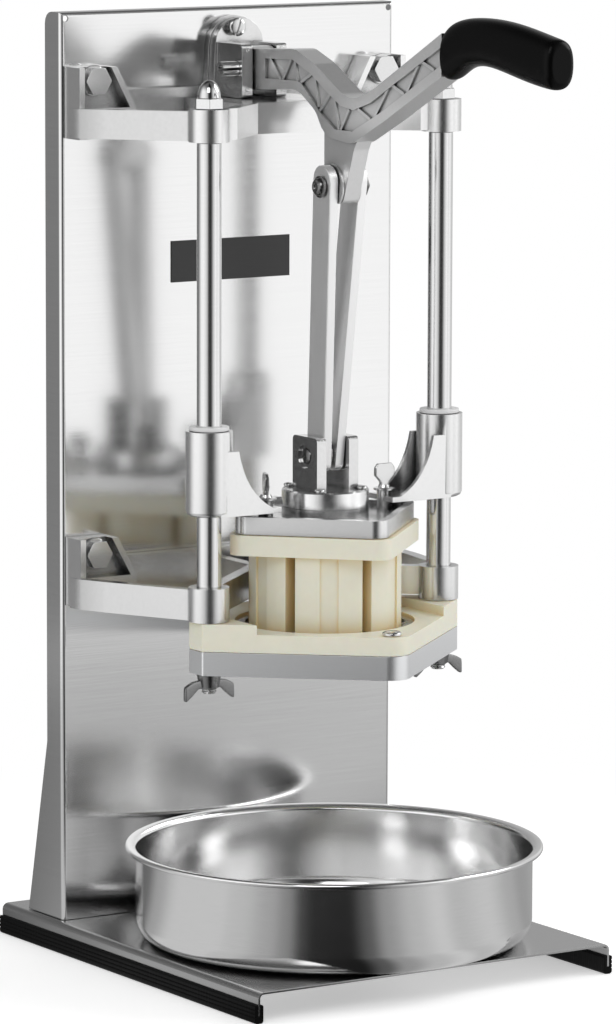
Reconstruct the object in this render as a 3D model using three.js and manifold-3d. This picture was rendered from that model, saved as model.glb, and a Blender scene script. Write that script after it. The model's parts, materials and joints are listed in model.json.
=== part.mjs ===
// Lever fruit wedger on a stand.
// Millimetres, +Z up. While the pieces are made, the cutting axis is x = 0, y = 0,
// the front is towards -y and the table top is z = 0. At the end the whole group moves
// so that the middle of its bounding box's base is the origin.

import * as THREE from "three";
import { mergeVertices } from "three/addons/utils/BufferGeometryUtils.js";
import Module from "manifold-3d";

const wasm = await Module();
wasm.setup();

// Shared clearances, facets and sheet
const gap = 0.3;
const overrun = 5;
const weld = 0.0001;
const roundFacets = 24;
const ringFacets = 36;
const domeRings = 5;
const smallFacets = 12;
const arcSteps = 4;
const sheet = 1.5;

// Base plate and the rubber trims on its folded sides
const baseHalfWidth = 135.5;
const baseFront = -133;
const baseBack = 188;
const baseTop = 20;
const baseBend = 4;
const baseSideBottom = 5;
const trimWidth = 6.4;
const trimHeight = 12;
const trimRound = 2;
const trimLip = 1.2;
const trimRib = 0.6;
const trimRibStart = 3.4;
const trimRibPitch = 2.6;
const trimRibs = 3;

// Back panel
const panelFront = 117.7;
const panelHalfWidth = 129.8;
const panelTop = 621;
const panelSide = 20;
const panelFoot = 45;
const panelFlareTop = 138;
const panelCorner = 8;
const panelBend = 3;
const panelRelief = 2;
const panelReliefInset = 4;
const footBoltX = 88;
const footBoltBehind = 27;
const footBoltRadius = 4;
const footBoltHead = 5.3;
const footBoltFlats = 13;

// Guide rods, their cap nuts and the wing nuts below
const rodX = 89.25;
const rodRadius = 8;
const studRadius = 5;
const studBottom = 187;
const studTop = 574.5;
const capFlats = 17;
const capHex = 6.5;
const capDome = 11.7;
const capDomeRadius = 7.6;
const wingHubRadius = 8.2;
const wingHubTip = 6.6;
const wingHubHeight = 9.5;
const wingSpan = 37.5;
const wingThick = 3.4;
const wingDrop = 17.5;
const wingRootDrop = 6.5;
const wingTipWidth = 8.5;
const wingRound = 3;

// Upper and lower bracket castings
const bossRadius = 13.3;
const upperBossBottom = 543.6;
const upperBossTop = 564.6;
const upperFootBottom = 539.3;
const upperFootTop = 586;
const upperBoltZ = 577;
const lowerBossBottom = 234.3;
const lowerBossTop = 256.4;
const lowerFootBottom = 231.5;
const lowerFootTop = 277;
const lowerBoltZ = 266.4;
const footOuter = 127;
const footInnerTop = 103;
const footInnerLow = 88.7;
const footFront = 98;
const footPlate = 10.7;
const footWall = 4;
const footFloor = 20;
const armThick = 8;
const armTopDrop = 1.2;
const armBottomRise = 0.8;
const armDroopShare = 0.04;
const webThick = 8;
const upperWebY = 29;
const upperWebHalf = 38;
const upperWebFoot = 72;
const upperWebRise = 1;
const shelfHalf = 36;
const shelfThick = 8;
const shelfTopDrop = 1.3;
const upperBarRise = 5.4;
const barThick = 8.4;
const lowerWebY = 68;
const lowerWebHalf = 11;
const lowerWebFoot = 84;
const lowerWebDrop = 0.5;
const lowerWebRise = 2.7;
const lowerBarRise = 6.2;
const boltRadius = 5;
const boltFlats = 17;
const boltHead = 6.4;
const boltX = 112;
const washerRadius = 10.2;
const washerThick = 1.8;
const nutThick = 8;
const boltSpare = 3;

// Hinge bracket, its slotted screw and the hinge pin
const hingePlate = 12;
const hingeHalfLow = 21.5;
const hingeHalfTop = 19.2;
const hingeTop = 615.8;
const hingeLayer = 6;
const hingeStep = 1.2;
const earFront = 74.7;
const earInner = 9.3;
const earOuter = 17.4;
const earTop = 599;
const earRound = 2.5;
const pivotY = 82;
const pivotZ = 583;
const hingePinRadius = 5;
const hingePinBore = 2.6;
const hingePinSlot = 1.4;
const hingePinReach = 30;
const hingePinFar = 21;
const screwX = -4.5;
const screwZ = 608.8;
const screwHeadRadius = 6.1;
const screwHead = 3.2;
const screwFront = 98.6;
const screwShank = 4;
const screwSlot = 1.4;
const screwNutFlats = 13;
const screwNutThick = 6;

// Lever casting with its truss ribs, and the grip
const leverSpan = 225;
const leverHalf = 7.9;
const leverHub = 14.5;
const leverWebHalf = 6;
const leverRibThick = 2;
const leverRibDrop = 0.5;
const leverEdgeRound = 20;
const lugForward = 98.2;
const lugDrop = 70.3;
const lugHalf = 5.8;
const lugPadHalf = 7.3;
const lugPadRadius = 14.5;
const lugRear = 9.9;
const lugBelow = 13;
const lugNose = 12.5;
const lugHeel = 24.8;
const lugHeelRise = 25;
const lugFlare = 12;
const lugRise = 44;
const lugToeRise = 3;
const lugRound = 8;
const lugPinRadius = 6;
const tangHalf = 5;
const tangLength = 78;
const tangHeight = 12;
const tangRise = 5;
const tangClear = 0.3;
const gripLength = 118.5;
const gripHalf = 11;
const gripRingPoints = 16;
const gripRings = 14;
const gripSquareShare = 0.72;
const gripEndRound = 5;
// Height of the casting's upper and lower edges, and of the grip's, along the lever:
// share of the span ahead of the pivot, share of the span above the pivot.
const leverTopShares = [
  [0.0293, 0.0569], [0.2493, 0.0693], [0.3556, 0.0324], [0.4396, -0.0129],
  [0.5022, -0.0453], [0.54, -0.054], [0.5747, -0.0511], [0.66, -0.0204], [1, 0.1551],
];
const leverBottomShares = [
  [1, 0.0342], [0.72, -0.1053], [0.5467, -0.1844], [0.4, -0.17], [0.3644, -0.1044],
  [0.2631, -0.0458], [0.0298, -0.0604],
];
// Corners of the recess inside the rims, and the ends of the ribs that cross it.
const recessTopShares = [
  [0.09, 0.033], [0.235, 0.038], [0.335, 0.002], [0.42, -0.045],
  [0.49, -0.079], [0.555, -0.087], [0.64, -0.062], [1, 0.118],
];
const recessBottomShares = [
  [1, 0.068], [0.71, -0.078], [0.55, -0.148], [0.46, -0.148], [0.385, -0.105],
  [0.285, -0.028], [0.265, -0.022], [0.09, -0.025],
];
const ribShares = [
  [0.115, 0.034, 0.17, -0.026], [0.225, 0.038, 0.18, -0.026], [0.245, 0.034, 0.262, -0.03],
  [0.335, 0.004, 0.268, -0.03], [0.352, -0.006, 0.372, -0.09], [0.43, -0.05, 0.378, -0.1],
  [0.455, -0.062, 0.478, -0.148], [0.53, -0.086, 0.487, -0.148], [0.575, -0.082, 0.64, -0.108],
  [0.73, -0.014, 0.66, -0.1], [0.75, -0.004, 0.81, -0.026], [0.88, 0.06, 0.825, -0.018],
  [0.9, 0.07, 0.96, 0.05],
];
const gripTopShares = [
  [0, 0.163], [0.055, 0.188], [0.165, 0.2], [0.35, 0.207], [0.545, 0.203],
  [0.785, 0.187], [1, 0.163],
];
const gripBottomShares = [
  [0, 0.028], [0.055, 0.028], [0.2, 0.063], [0.37, 0.074], [0.6, 0.058],
  [0.83, 0.034], [0.95, 0.028], [1, 0.028],
];
const gripWidthShares = [[0, 0.9], [0.06, 1], [0.3, 0.98], [0.6, 1], [1, 1]];

// Links, their pivot bolts and the roller between them
const clevisPinRise = 47.2;
const linkWide = 20;
const linkThick = 6.3;
const linkInnerTop = 8;
const linkInnerLow = 1.7;
const linkEndTop = 14;
const linkEndLow = 9.4;
const knobRadius = 7.15;
const knobThick = 3.4;
const knobStub = 4;
const linkNutFlats = 13;
const linkPinRadius = 5;
const rollerRadius = 8;

// Clevis on its disc
const discRadius = 28.5;
const discTopRise = 25.6;
const discChamfer = 1;
const clevisOuter = 16;
const clevisHalfY = 14.6;
const clevisTopRise = 60;
const clevisRound = 3;
const clevisRecess = 8.3;
const clevisRecessDeep = 1.6;
const clevisScrewX = 16.4;
const clevisScrewY = 18.2;
const clevisScrewRadius = 3.6;
const clevisScrewHead = 2.2;
const clevisScrewShank = 2;
const clevisScrewSlot = 1;

// Pusher casting: square tray, arms, curved fins and guide sleeves
const trayHalfDiagonal = 71.7;
const trayCorner = 9.6;
const trayTopRise = 11.8;
const trayRim = 5;
const trayRecess = 4;
const armPlateHalf = 14.5;
const armPlateThick = 3.5;
const armPlateStart = 43;
const finThick = 3;
const finTopRise = 56;
const finLowRise = 17.3;
const finInner = 49;
const finBendShare = 0.86;
const sleeveRadius = 15.3;
const sleeveBottomRise = 14;
const sleeveTopRise = 69;
const sleeveRound = 3;
const bushRadius = 11.5;
const bushFlange = 13;
const bushFlangeThick = 2.5;
const thumbX = 46;
const thumbBoss = 4.8;
const thumbBossTopRise = 20.5;
const thumbShank = 3;
const thumbWasher = 7.2;
const thumbWasherThick = 1.4;
const spadeWide = 13;
const spadeThick = 3;
const spadeTopRise = 38;
const spadeRound = 5.5;
const spadeNeck = 4;
const spadeNeckRise = 4;
const thumbDepth = 9;
const thumbTurn = 65;

// Pusher block with six wedge fingers
const blockHalfDiagonal = 75.7;
const blockCorner = 10;
const blockTop = 289;
const blockBottom = 275.7;
const fingerRadius = 50;
const fingerBottom = 208.5;
const fingerSlot = 7;
const fingerGroove = 12;
const fingerGrooveDeep = 1.8;
const wedges = 6;

// Guide plate, lower plate, plate screws and blade set
const plateHalfLength = 99.4;
const plateEndHalf = 8.1;
const platePoint = 94;
const platePointRound = 14;
const plateEndRound = 2;
const guideBottom = 216;
const guideTop = 227.8;
const guideHole = 58.8;
const guidePadInner = 72.5;
const lowerPlateBottom = 200.2;
const lowerPlateHole = 54;
const bladeSeat = 208;
const plateScrewY = 79;
const plateScrewHead = 6.25;
const plateScrewHeadThick = 3.2;
const plateScrewShank = 3;
const plateScrewSlot = 1.4;
const ringOuter = 58;
const ringInner = 52.5;
const ringTop = 226;
const ringFlange = 62;
const ringFlangeThick = 2.4;
const bladeThick = 1;
const bladeBevel = 2.5;

// Catch pan
const panX = -6;
const panY = -21;
const panRim = 136.6;
const panBody = 129.8;
const panFloor = 116;
const panTop = 83.5;
const panWall = 1;
const panFloorRound = 14;
const panRimDrop = 1.6;
const panSteps = 3;

const stainless = new THREE.MeshStandardMaterial({
  color: 0xe4e6e8, roughness: 0.22, metalness: 1,
});
const baseSteel = new THREE.MeshStandardMaterial({
  color: 0xb9bcbf, roughness: 0.35, metalness: 1,
});
const castAluminium = new THREE.MeshStandardMaterial({
  color: 0xcfd1d3, roughness: 0.45, metalness: 0.9,
});
const leverAluminium = new THREE.MeshStandardMaterial({
  color: 0xa9abad, roughness: 0.5, metalness: 0.9,
});
const plateAluminium = new THREE.MeshStandardMaterial({
  color: 0xb9bec3, roughness: 0.4, metalness: 0.9,
});
const chrome = new THREE.MeshStandardMaterial({
  color: 0xf0f0f2, roughness: 0.08, metalness: 1,
});
const zinc = new THREE.MeshStandardMaterial({
  color: 0xc4c6c4, roughness: 0.35, metalness: 1,
});
const bladeSteel = new THREE.MeshStandardMaterial({
  color: 0xd4d6d8, roughness: 0.25, metalness: 1,
});
const panSteel = new THREE.MeshStandardMaterial({
  color: 0xd0d2d4, roughness: 0.28, metalness: 1,
});
const ivory = new THREE.MeshStandardMaterial({
  color: 0xd8d5c2, roughness: 0.55, metalness: 0,
});
const nylon = new THREE.MeshStandardMaterial({
  color: 0xf1f1ee, roughness: 0.5, metalness: 0,
});
const rubber = new THREE.MeshStandardMaterial({
  color: 0x141414, roughness: 0.6, metalness: 0,
});

const part = new THREE.Group();

// Turns a closed three.js geometry into a solid for joining and cutting.
function solidOf(geometry) {
  const bare = geometry.clone();
  bare.deleteAttribute("normal");
  bare.deleteAttribute("uv");
  const merged = mergeVertices(bare, weld);
  const index = merged.index.array;
  const kept = [];
  for (let i = 0; i < index.length; i += 3) {
    const [a, b, c] = [index[i], index[i + 1], index[i + 2]];
    if (a !== b && b !== c && c !== a) {
      kept.push(a, b, c);
    }
  }
  return new wasm.Manifold(new wasm.Mesh({
    numProp: 3,
    vertProperties: new Float32Array(merged.attributes.position.array),
    triVerts: new Uint32Array(kept),
  }));
}

function addPiece(name, solid, material) {
  const mesh = solid.getMesh();
  const geometry = new THREE.BufferGeometry();
  geometry.setAttribute("position", new THREE.BufferAttribute(mesh.vertProperties, 3));
  geometry.setIndex(new THREE.BufferAttribute(mesh.triVerts, 1));
  geometry.computeVertexNormals();
  const piece = new THREE.Mesh(geometry, material);
  piece.name = name;
  part.add(piece);
}

function joined(solids) {
  return solids.reduce((whole, next) => whole.add(next));
}

function cutBy(solid, cuts) {
  return cuts.reduce((left, cut) => left.subtract(cut), solid);
}

function circle(u, v, radius, facets = roundFacets) {
  const points = [];
  for (let i = 0; i < facets; i += 1) {
    const angle = (2 * Math.PI * i) / facets;
    points.push([u + radius * Math.cos(angle), v + radius * Math.sin(angle)]);
  }
  return points;
}

function hexagon(u, v, flats) {
  return circle(u, v, flats / Math.sqrt(3), 6);
}

function rectangle(u0, u1, v0, v1) {
  return [[u0, v0], [u1, v0], [u1, v1], [u0, v1]];
}

// Rounds the corners of a closed outline: each corner is [u, v, radius].
function rounded(corners) {
  const points = [];
  corners.forEach(([u, v, radius = 0], i) => {
    const corner = new THREE.Vector2(u, v);
    if (radius <= 0) {
      points.push([u, v]);
      return;
    }
    const before = corners[(i + corners.length - 1) % corners.length];
    const after = corners[(i + 1) % corners.length];
    const towardBefore = new THREE.Vector2(before[0] - u, before[1] - v).normalize();
    const towardAfter = new THREE.Vector2(after[0] - u, after[1] - v).normalize();
    const half = Math.acos(THREE.MathUtils.clamp(towardBefore.dot(towardAfter), -1, 1)) / 2;
    const reach = radius / Math.tan(half);
    const bisector = towardBefore.clone().add(towardAfter).normalize();
    const centre = corner.clone().addScaledVector(bisector, radius / Math.sin(half));
    const start = corner.clone().addScaledVector(towardBefore, reach).sub(centre);
    const end = corner.clone().addScaledVector(towardAfter, reach).sub(centre);
    let turn = end.angle() - start.angle();
    turn -= 2 * Math.PI * Math.round(turn / (2 * Math.PI));
    for (let step = 0; step <= arcSteps; step += 1) {
      const angle = start.angle() + (turn * step) / arcSteps;
      points.push([centre.x + radius * Math.cos(angle), centre.y + radius * Math.sin(angle)]);
    }
  });
  return points;
}

// Outline of a strip of even thickness along an open line of points.
function ribbon(line, thickness) {
  const left = [];
  const right = [];
  line.forEach(([u, v], i) => {
    const ahead = line[Math.min(i + 1, line.length - 1)];
    const behind = line[Math.max(i - 1, 0)];
    const into = new THREE.Vector2(u - behind[0], v - behind[1]).normalize();
    const out = new THREE.Vector2(ahead[0] - u, ahead[1] - v).normalize();
    const along = into.clone().add(out).normalize();
    const solo = into.length() > 0 ? into : out;
    const half = thickness / 2 / Math.abs(along.dot(solo));
    left.push([u - along.y * half, v + along.x * half]);
    right.unshift([u + along.y * half, v - along.x * half]);
  });
  return left.concat(right);
}

function extruded(outline, length) {
  const shape = new THREE.Shape(outline.map(([u, v]) => new THREE.Vector2(u, v)));
  return new THREE.ExtrudeGeometry(shape, { depth: length, bevelEnabled: false });
}

// Outline in (y, z), from x0 to x1.
function alongX(outline, x0, x1) {
  const geometry = extruded(outline, x1 - x0);
  const turn = new THREE.Matrix4().makeBasis(
    new THREE.Vector3(0, 1, 0), new THREE.Vector3(0, 0, 1), new THREE.Vector3(1, 0, 0),
  );
  return solidOf(geometry.applyMatrix4(turn).translate(x0, 0, 0));
}

// Outline in (x, z), from y0 to y1.
function alongY(outline, y0, y1) {
  const geometry = extruded(outline, y1 - y0);
  return solidOf(geometry.rotateX(Math.PI / 2).translate(0, y1, 0));
}

// Outline in (x, y), from z0 to z1; droop lowers it by that share of its y.
function alongZ(outline, z0, z1, droop = 0) {
  const geometry = extruded(outline, z1 - z0).translate(0, 0, z0);
  const shear = new THREE.Matrix4().makeShear(0, 0, 0, -droop, 0, 0);
  return solidOf(geometry.applyMatrix4(shear));
}

// Profile of [radius, height] pairs from bottom to top, turned about a vertical line.
function turned(profile, x, y, facets = roundFacets) {
  const points = profile.map(([radius, height]) => new THREE.Vector2(radius, height));
  const geometry = new THREE.LatheGeometry(points, facets);
  return solidOf(geometry.rotateX(Math.PI / 2).translate(x, y, 0));
}

function diamond(halfDiagonal, corner) {
  return rounded([
    [halfDiagonal, 0, corner], [0, halfDiagonal, corner],
    [-halfDiagonal, 0, corner], [0, -halfDiagonal, corner],
  ]);
}

const sides = [["left", -1], ["right", 1]];
const panelBack = panelFront + sheet;
const panelBottom = baseTop + gap;
const footBack = panelFront - gap;
const lugY = pivotY - lugForward;
const lugZ = pivotZ - lugDrop;
// Heights that follow the top of the pusher block
const trayBottom = blockTop + gap;
const trayTop = blockTop + trayTopRise;
const sleeveBottom = blockTop + sleeveBottomRise;
const sleeveTop = blockTop + sleeveTopRise;
const finTop = blockTop + finTopRise;
const finLow = blockTop + finLowRise;
const thumbBossTop = blockTop + thumbBossTopRise;
const spadeTop = blockTop + spadeTopRise;
const discBottom = sleeveBottom + gap;
const discTop = blockTop + discTopRise;
const clevisTop = blockTop + clevisTopRise;
const linkLowerZ = blockTop + clevisPinRise;

// Base plate: one folded sheet, open underneath
{
  const inner = baseHalfWidth - sheet;
  const innerBend = baseBend - sheet;
  const fold = rounded([
    [-baseHalfWidth, baseSideBottom], [-inner, baseSideBottom],
    [-inner, baseTop - sheet, innerBend], [inner, baseTop - sheet, innerBend],
    [inner, baseSideBottom], [baseHalfWidth, baseSideBottom],
    [baseHalfWidth, baseTop, baseBend], [-baseHalfWidth, baseTop, baseBend],
  ]);
  const holes = sides.map(([, side]) => alongZ(
    circle(side * footBoltX, panelFront + footBoltBehind, footBoltRadius + gap, smallFacets),
    baseTop - sheet - overrun, baseTop + overrun,
  ));
  addPiece("base_plate", cutBy(alongY(fold, baseFront, baseBack), holes), baseSteel);
}

// Rubber trims: a grooved channel pushed on each folded side
for (const [name, side] of sides) {
  const middle = baseHalfWidth - sheet / 2;
  const outer = middle + trimWidth / 2;
  const inner = middle - trimWidth / 2;
  const slot = sheet / 2 + gap;
  const corners = [
    [inner, trimHeight, trimLip], [inner, 0, trimRound], [outer, 0, trimRound],
  ];
  for (let i = 0; i < trimRibs; i += 1) {
    const z = trimRibStart + i * trimRibPitch;
    corners.push([outer, z], [outer - trimRib, z + trimRib], [outer, z + 2 * trimRib]);
  }
  corners.push(
    [outer, trimHeight - trimLip / 2], [outer - trimLip / 2, trimHeight],
    [middle + slot, trimHeight], [middle + slot, baseSideBottom - gap],
    [middle - slot, baseSideBottom - gap], [middle - slot, trimHeight],
  );
  const mirrored = rounded(corners).map(([x, z]) => [side * x, z]);
  addPiece(`rubber_trim_${name}`, alongY(mirrored, baseFront, baseBack), rubber);
}

// Back panel: folded sheet with side flanges that flare at the foot
{
  const back = panelFront + panelSide;
  const footBackY = panelFront + panelFoot;
  const outerSide = rounded([
    [panelFront, panelBottom], [footBackY, panelBottom],
    [back, panelFlareTop], [back, panelTop, panelCorner], [panelFront, panelTop, panelBend],
  ]);
  const outerPlan = rounded([
    [-panelHalfWidth, footBackY + overrun], [-panelHalfWidth, panelFront, panelBend],
    [panelHalfWidth, panelFront, panelBend], [panelHalfWidth, footBackY + overrun],
  ]);
  const innerHalf = panelHalfWidth - sheet;
  const innerPlan = rounded([
    [-innerHalf, footBackY + overrun], [-innerHalf, panelBack, panelBend - sheet],
    [innerHalf, panelBack, panelBend - sheet], [innerHalf, footBackY + overrun],
  ]);
  const outer = alongX(outerSide, -panelHalfWidth, panelHalfWidth)
    .intersect(alongZ(outerPlan, panelBottom, panelTop));
  const cuts = [alongZ(innerPlan, panelBottom + sheet, panelTop - sheet)];
  for (const [, side] of sides) {
    cuts.push(alongY(circle(
      side * (panelHalfWidth - panelReliefInset), panelTop - panelReliefInset,
      panelRelief, smallFacets,
    ), panelFront - overrun, panelBack + sheet));
    for (const z of [upperBoltZ, lowerBoltZ]) {
      cuts.push(alongY(circle(side * boltX, z, boltRadius + gap, smallFacets),
        panelFront - overrun, panelBack + sheet));
    }
    cuts.push(alongZ(circle(
      side * footBoltX, panelFront + footBoltBehind, footBoltRadius + gap, smallFacets,
    ), panelBottom - overrun, panelBottom + sheet + overrun));
  }
  cuts.push(alongY(circle(screwX, screwZ, screwShank + gap, smallFacets),
    panelFront - overrun, panelBack + sheet));
  addPiece("back_panel", cutBy(outer, cuts), stainless);
}

// Bolts and nuts through the panel's foot flange and the base plate
for (const [name, side] of sides) {
  const x = side * footBoltX;
  const y = panelFront + footBoltBehind;
  const seat = panelBottom + sheet + gap;
  const under = baseTop - sheet - gap;
  const head = alongZ(hexagon(x, y, footBoltFlats), seat, seat + footBoltHead);
  const shank = alongZ(circle(x, y, footBoltRadius, smallFacets),
    under - footBoltHead - boltSpare / 2, seat + footBoltHead / 2);
  addPiece(`base_bolt_${name}`, head.add(shank), zinc);
  const nut = alongZ(hexagon(x, y, footBoltFlats), under - footBoltHead, under);
  const bore = alongZ(circle(x, y, footBoltRadius + gap, smallFacets),
    under - footBoltHead - overrun, under + overrun);
  addPiece(`base_nut_${name}`, nut.subtract(bore), zinc);
}

// One side of a bracket: foot with a pocket round its bolt, arm and rod boss
function bracketSide(side, sizes) {
  const plateFront = footBack - footPlate;
  const lean = (footInnerTop - footInnerLow) / (sizes.footTop - sizes.footBottom - footFloor);
  const wallX = footWall * Math.hypot(1, lean);
  const floorZ = sizes.footBottom + footFloor;
  const openZ = sizes.footTop + overrun;
  const foot = [
    [footInnerLow - wallX, sizes.footBottom], [footOuter, sizes.footBottom],
    [footOuter, sizes.footTop], [footInnerTop - wallX, sizes.footTop],
    [footInnerLow - wallX, floorZ],
  ];
  const pocket = [
    [footInnerLow, floorZ], [footOuter - footWall, floorZ], [footOuter - footWall, openZ],
    [footInnerLow + lean * (openZ - floorZ), openZ],
  ];
  const mirrored = (outline) => outline.map(([u, v]) => [side * u, v]);
  const middle = footOuter - armThick / 2;
  const bossSide = rodX + bossRadius - armThick / 2;
  const curve = new THREE.CatmullRomCurve3([
    new THREE.Vector3(middle, footBack - footPlate / 2, 0),
    new THREE.Vector3(middle, footFront, 0),
    new THREE.Vector3((middle + bossSide) / 2, footFront / 2, 0),
    new THREE.Vector3(bossSide, bossRadius / 2, 0),
    new THREE.Vector3(rodX + rodRadius, -rodRadius / 2, 0),
  ]);
  const line = curve.getPoints(arcSteps * 2).map((point) => [side * point.x, point.y]);
  const arm = alongZ(ribbon(line, armThick), sizes.bossBottom + armBottomRise,
    sizes.bossTop - armTopDrop, armDroopShare);
  const boss = alongZ(circle(side * rodX, 0, bossRadius), sizes.bossBottom, sizes.bossTop);
  const bar = alongY(
    rectangle(0, footInnerLow + footWall, sizes.bossBottom + armBottomRise, sizes.barTop)
      .map(([u, v]) => [side * u, v]),
    footBack - barThick, footBack,
  );
  const whole = joined([
    alongY(mirrored(foot), footFront, footBack).subtract(
      alongY(mirrored(pocket), footFront - overrun, plateFront),
    ), arm, boss, bar,
  ]);
  return cutBy(whole, [
    alongZ(circle(side * rodX, 0, sizes.bore + gap), sizes.bossBottom - overrun,
      sizes.bossTop + overrun),
    alongY(circle(side * boltX, sizes.boltZ, boltRadius + gap, smallFacets),
      plateFront - overrun, footBack + overrun),
  ]);
}

const hingeBottom = upperBossTop - shelfTopDrop + gap;

// Upper bracket with the shelf that carries the hinge
{
  const sizes = {
    footBottom: upperFootBottom, footTop: upperFootTop, boltZ: upperBoltZ,
    bossBottom: upperBossBottom, bossTop: upperBossTop,
    barTop: upperBossTop + upperBarRise, bore: studRadius,
  };
  const webLine = [
    [-rodX, 0], [-upperWebFoot, 0], [-upperWebHalf, upperWebY],
    [upperWebHalf, upperWebY], [upperWebFoot, 0], [rodX, 0],
  ];
  const bores = sides.map(([, side]) => alongZ(circle(side * rodX, 0, studRadius + gap),
    upperBossBottom - overrun, upperBossTop + overrun));
  const web = cutBy(alongZ(ribbon(webLine, webThick), upperBossBottom + upperWebRise,
    upperBossTop), bores);
  const shelfTop = upperBossTop - shelfTopDrop;
  const shelf = alongZ(rectangle(-shelfHalf, shelfHalf, upperWebY, footBack),
    shelfTop - shelfThick, shelfTop);
  const cheeks = sides.map(([, side]) => alongZ(
    rectangle(side * shelfHalf - webThick / 2, side * shelfHalf + webThick / 2, upperWebY, footBack),
    upperBossBottom + armBottomRise, shelfTop,
  ));
  const seat = alongZ(
    rectangle(-hingeHalfLow - gap, hingeHalfLow + gap, footBack - barThick - overrun,
      footBack + overrun), shelfTop, upperFootTop);
  const halves = sides.map(([, side]) => bracketSide(side, sizes));
  addPiece("upper_bracket", joined([...halves, web, shelf, ...cheeks]).subtract(seat),
    castAluminium);
}

// Lower bracket, open in front of the cutter
{
  const sizes = {
    footBottom: lowerFootBottom, footTop: lowerFootTop, boltZ: lowerBoltZ,
    bossBottom: lowerBossBottom, bossTop: lowerBossTop,
    barTop: lowerBossTop + lowerBarRise, bore: rodRadius,
  };
  const webLine = [
    [-rodX, -webThick / 2], [-lowerWebFoot, webThick / 2], [-lowerWebHalf, lowerWebY],
    [lowerWebHalf, lowerWebY], [lowerWebFoot, webThick / 2], [rodX, -webThick / 2],
  ];
  const webBottom = lowerBossBottom + lowerWebRise;
  const webTop = lowerBossTop - lowerWebDrop;
  const bores = sides.map(([, side]) => alongZ(circle(side * rodX, 0, rodRadius + gap),
    lowerBossBottom - overrun, lowerBossTop + overrun));
  const web = cutBy(alongZ(ribbon(webLine, webThick), webBottom, webTop), bores);
  const ties = sides.map(([, side]) => alongZ(
    rectangle(side * lowerWebHalf - webThick / 2, side * lowerWebHalf + webThick / 2,
      lowerWebY, footBack), webBottom, webTop));
  const halves = sides.map(([, side]) => bracketSide(side, sizes));
  addPiece("lower_bracket", joined([...halves, web, ...ties]), castAluminium);
}

// Bracket bolts with their washers, and the nuts behind the panel
for (const [level, z] of [["upper", upperBoltZ], ["lower", lowerBoltZ]]) {
  for (const [name, side] of sides) {
    const x = side * boltX;
    const washerBack = footBack - footPlate - gap;
    const headBack = washerBack - washerThick;
    const nutFront = panelBack + gap;
    addPiece(`bracket_bolt_${level}_${name}`, joined([
      alongY(hexagon(x, z, boltFlats), headBack - boltHead, headBack),
      alongY(circle(x, z, washerRadius, smallFacets), headBack, washerBack),
      alongY(circle(x, z, boltRadius, smallFacets), headBack - boltHead / 2,
        nutFront + nutThick + boltSpare),
    ]), zinc);
    const bore = alongY(circle(x, z, boltRadius + gap, smallFacets),
      nutFront - overrun, nutFront + nutThick + overrun);
    addPiece(`bracket_nut_${level}_${name}`,
      alongY(hexagon(x, z, boltFlats), nutFront, nutFront + nutThick).subtract(bore), zinc);
  }
}

// Guide rods with a stud at each end, cap nuts and wing nuts
for (const [name, side] of sides) {
  const x = side * rodX;
  const shoulderTop = upperBossBottom - gap;
  const shoulderLow = guideBottom;
  addPiece(`guide_rod_${name}`, joined([
    alongZ(circle(x, 0, rodRadius), shoulderLow, shoulderTop),
    alongZ(circle(x, 0, studRadius, smallFacets), studBottom, studTop),
  ]), chrome);
  const seat = upperBossTop + gap;
  const domeBase = seat + capHex;
  const dome = [[0, seat]];
  for (let i = 0; i <= domeRings; i += 1) {
    const angle = (Math.PI / 2) * (i / domeRings);
    dome.push([capDomeRadius * Math.cos(angle), domeBase + capDome * Math.sin(angle)]);
  }
  dome.splice(1, 0, [capDomeRadius, seat]);
  dome[dome.length - 1][0] = 0;
  addPiece(`cap_nut_${name}`, alongZ(hexagon(x, 0, capFlats), seat, domeBase)
    .add(turned(dome, x, 0, smallFacets))
    .subtract(alongZ(circle(x, 0, studRadius + gap, smallFacets), seat - overrun,
      studTop + gap)), chrome);

  const hubTop = lowerPlateBottom - gap;
  const hub = turned([
    [0, hubTop - wingHubHeight], [wingHubTip, hubTop - wingHubHeight],
    [wingHubRadius, hubTop], [0, hubTop],
  ], x, 0, smallFacets);
  const wing = (turn) => alongY(rounded([
    [x, hubTop - wingHubHeight, 0], [x, hubTop - wingRootDrop + wingRound, 0],
    [x + turn * (wingSpan / 2 - wingTipWidth / 2), hubTop - wingRootDrop, wingRound],
    [x + turn * wingSpan / 2, hubTop - wingRootDrop - wingRound, wingRound],
    [x + turn * wingSpan / 2, hubTop - wingDrop, wingRound],
    [x + turn * (wingSpan / 2 - wingTipWidth), hubTop - wingDrop, wingRound],
  ]), -wingThick / 2, wingThick / 2);
  addPiece(`wing_nut_${name}`, joined([hub, wing(1), wing(-1)]).subtract(
    alongZ(circle(x, 0, studRadius + gap, smallFacets), hubTop - wingDrop - overrun,
      hubTop + overrun)), zinc);
}

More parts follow.
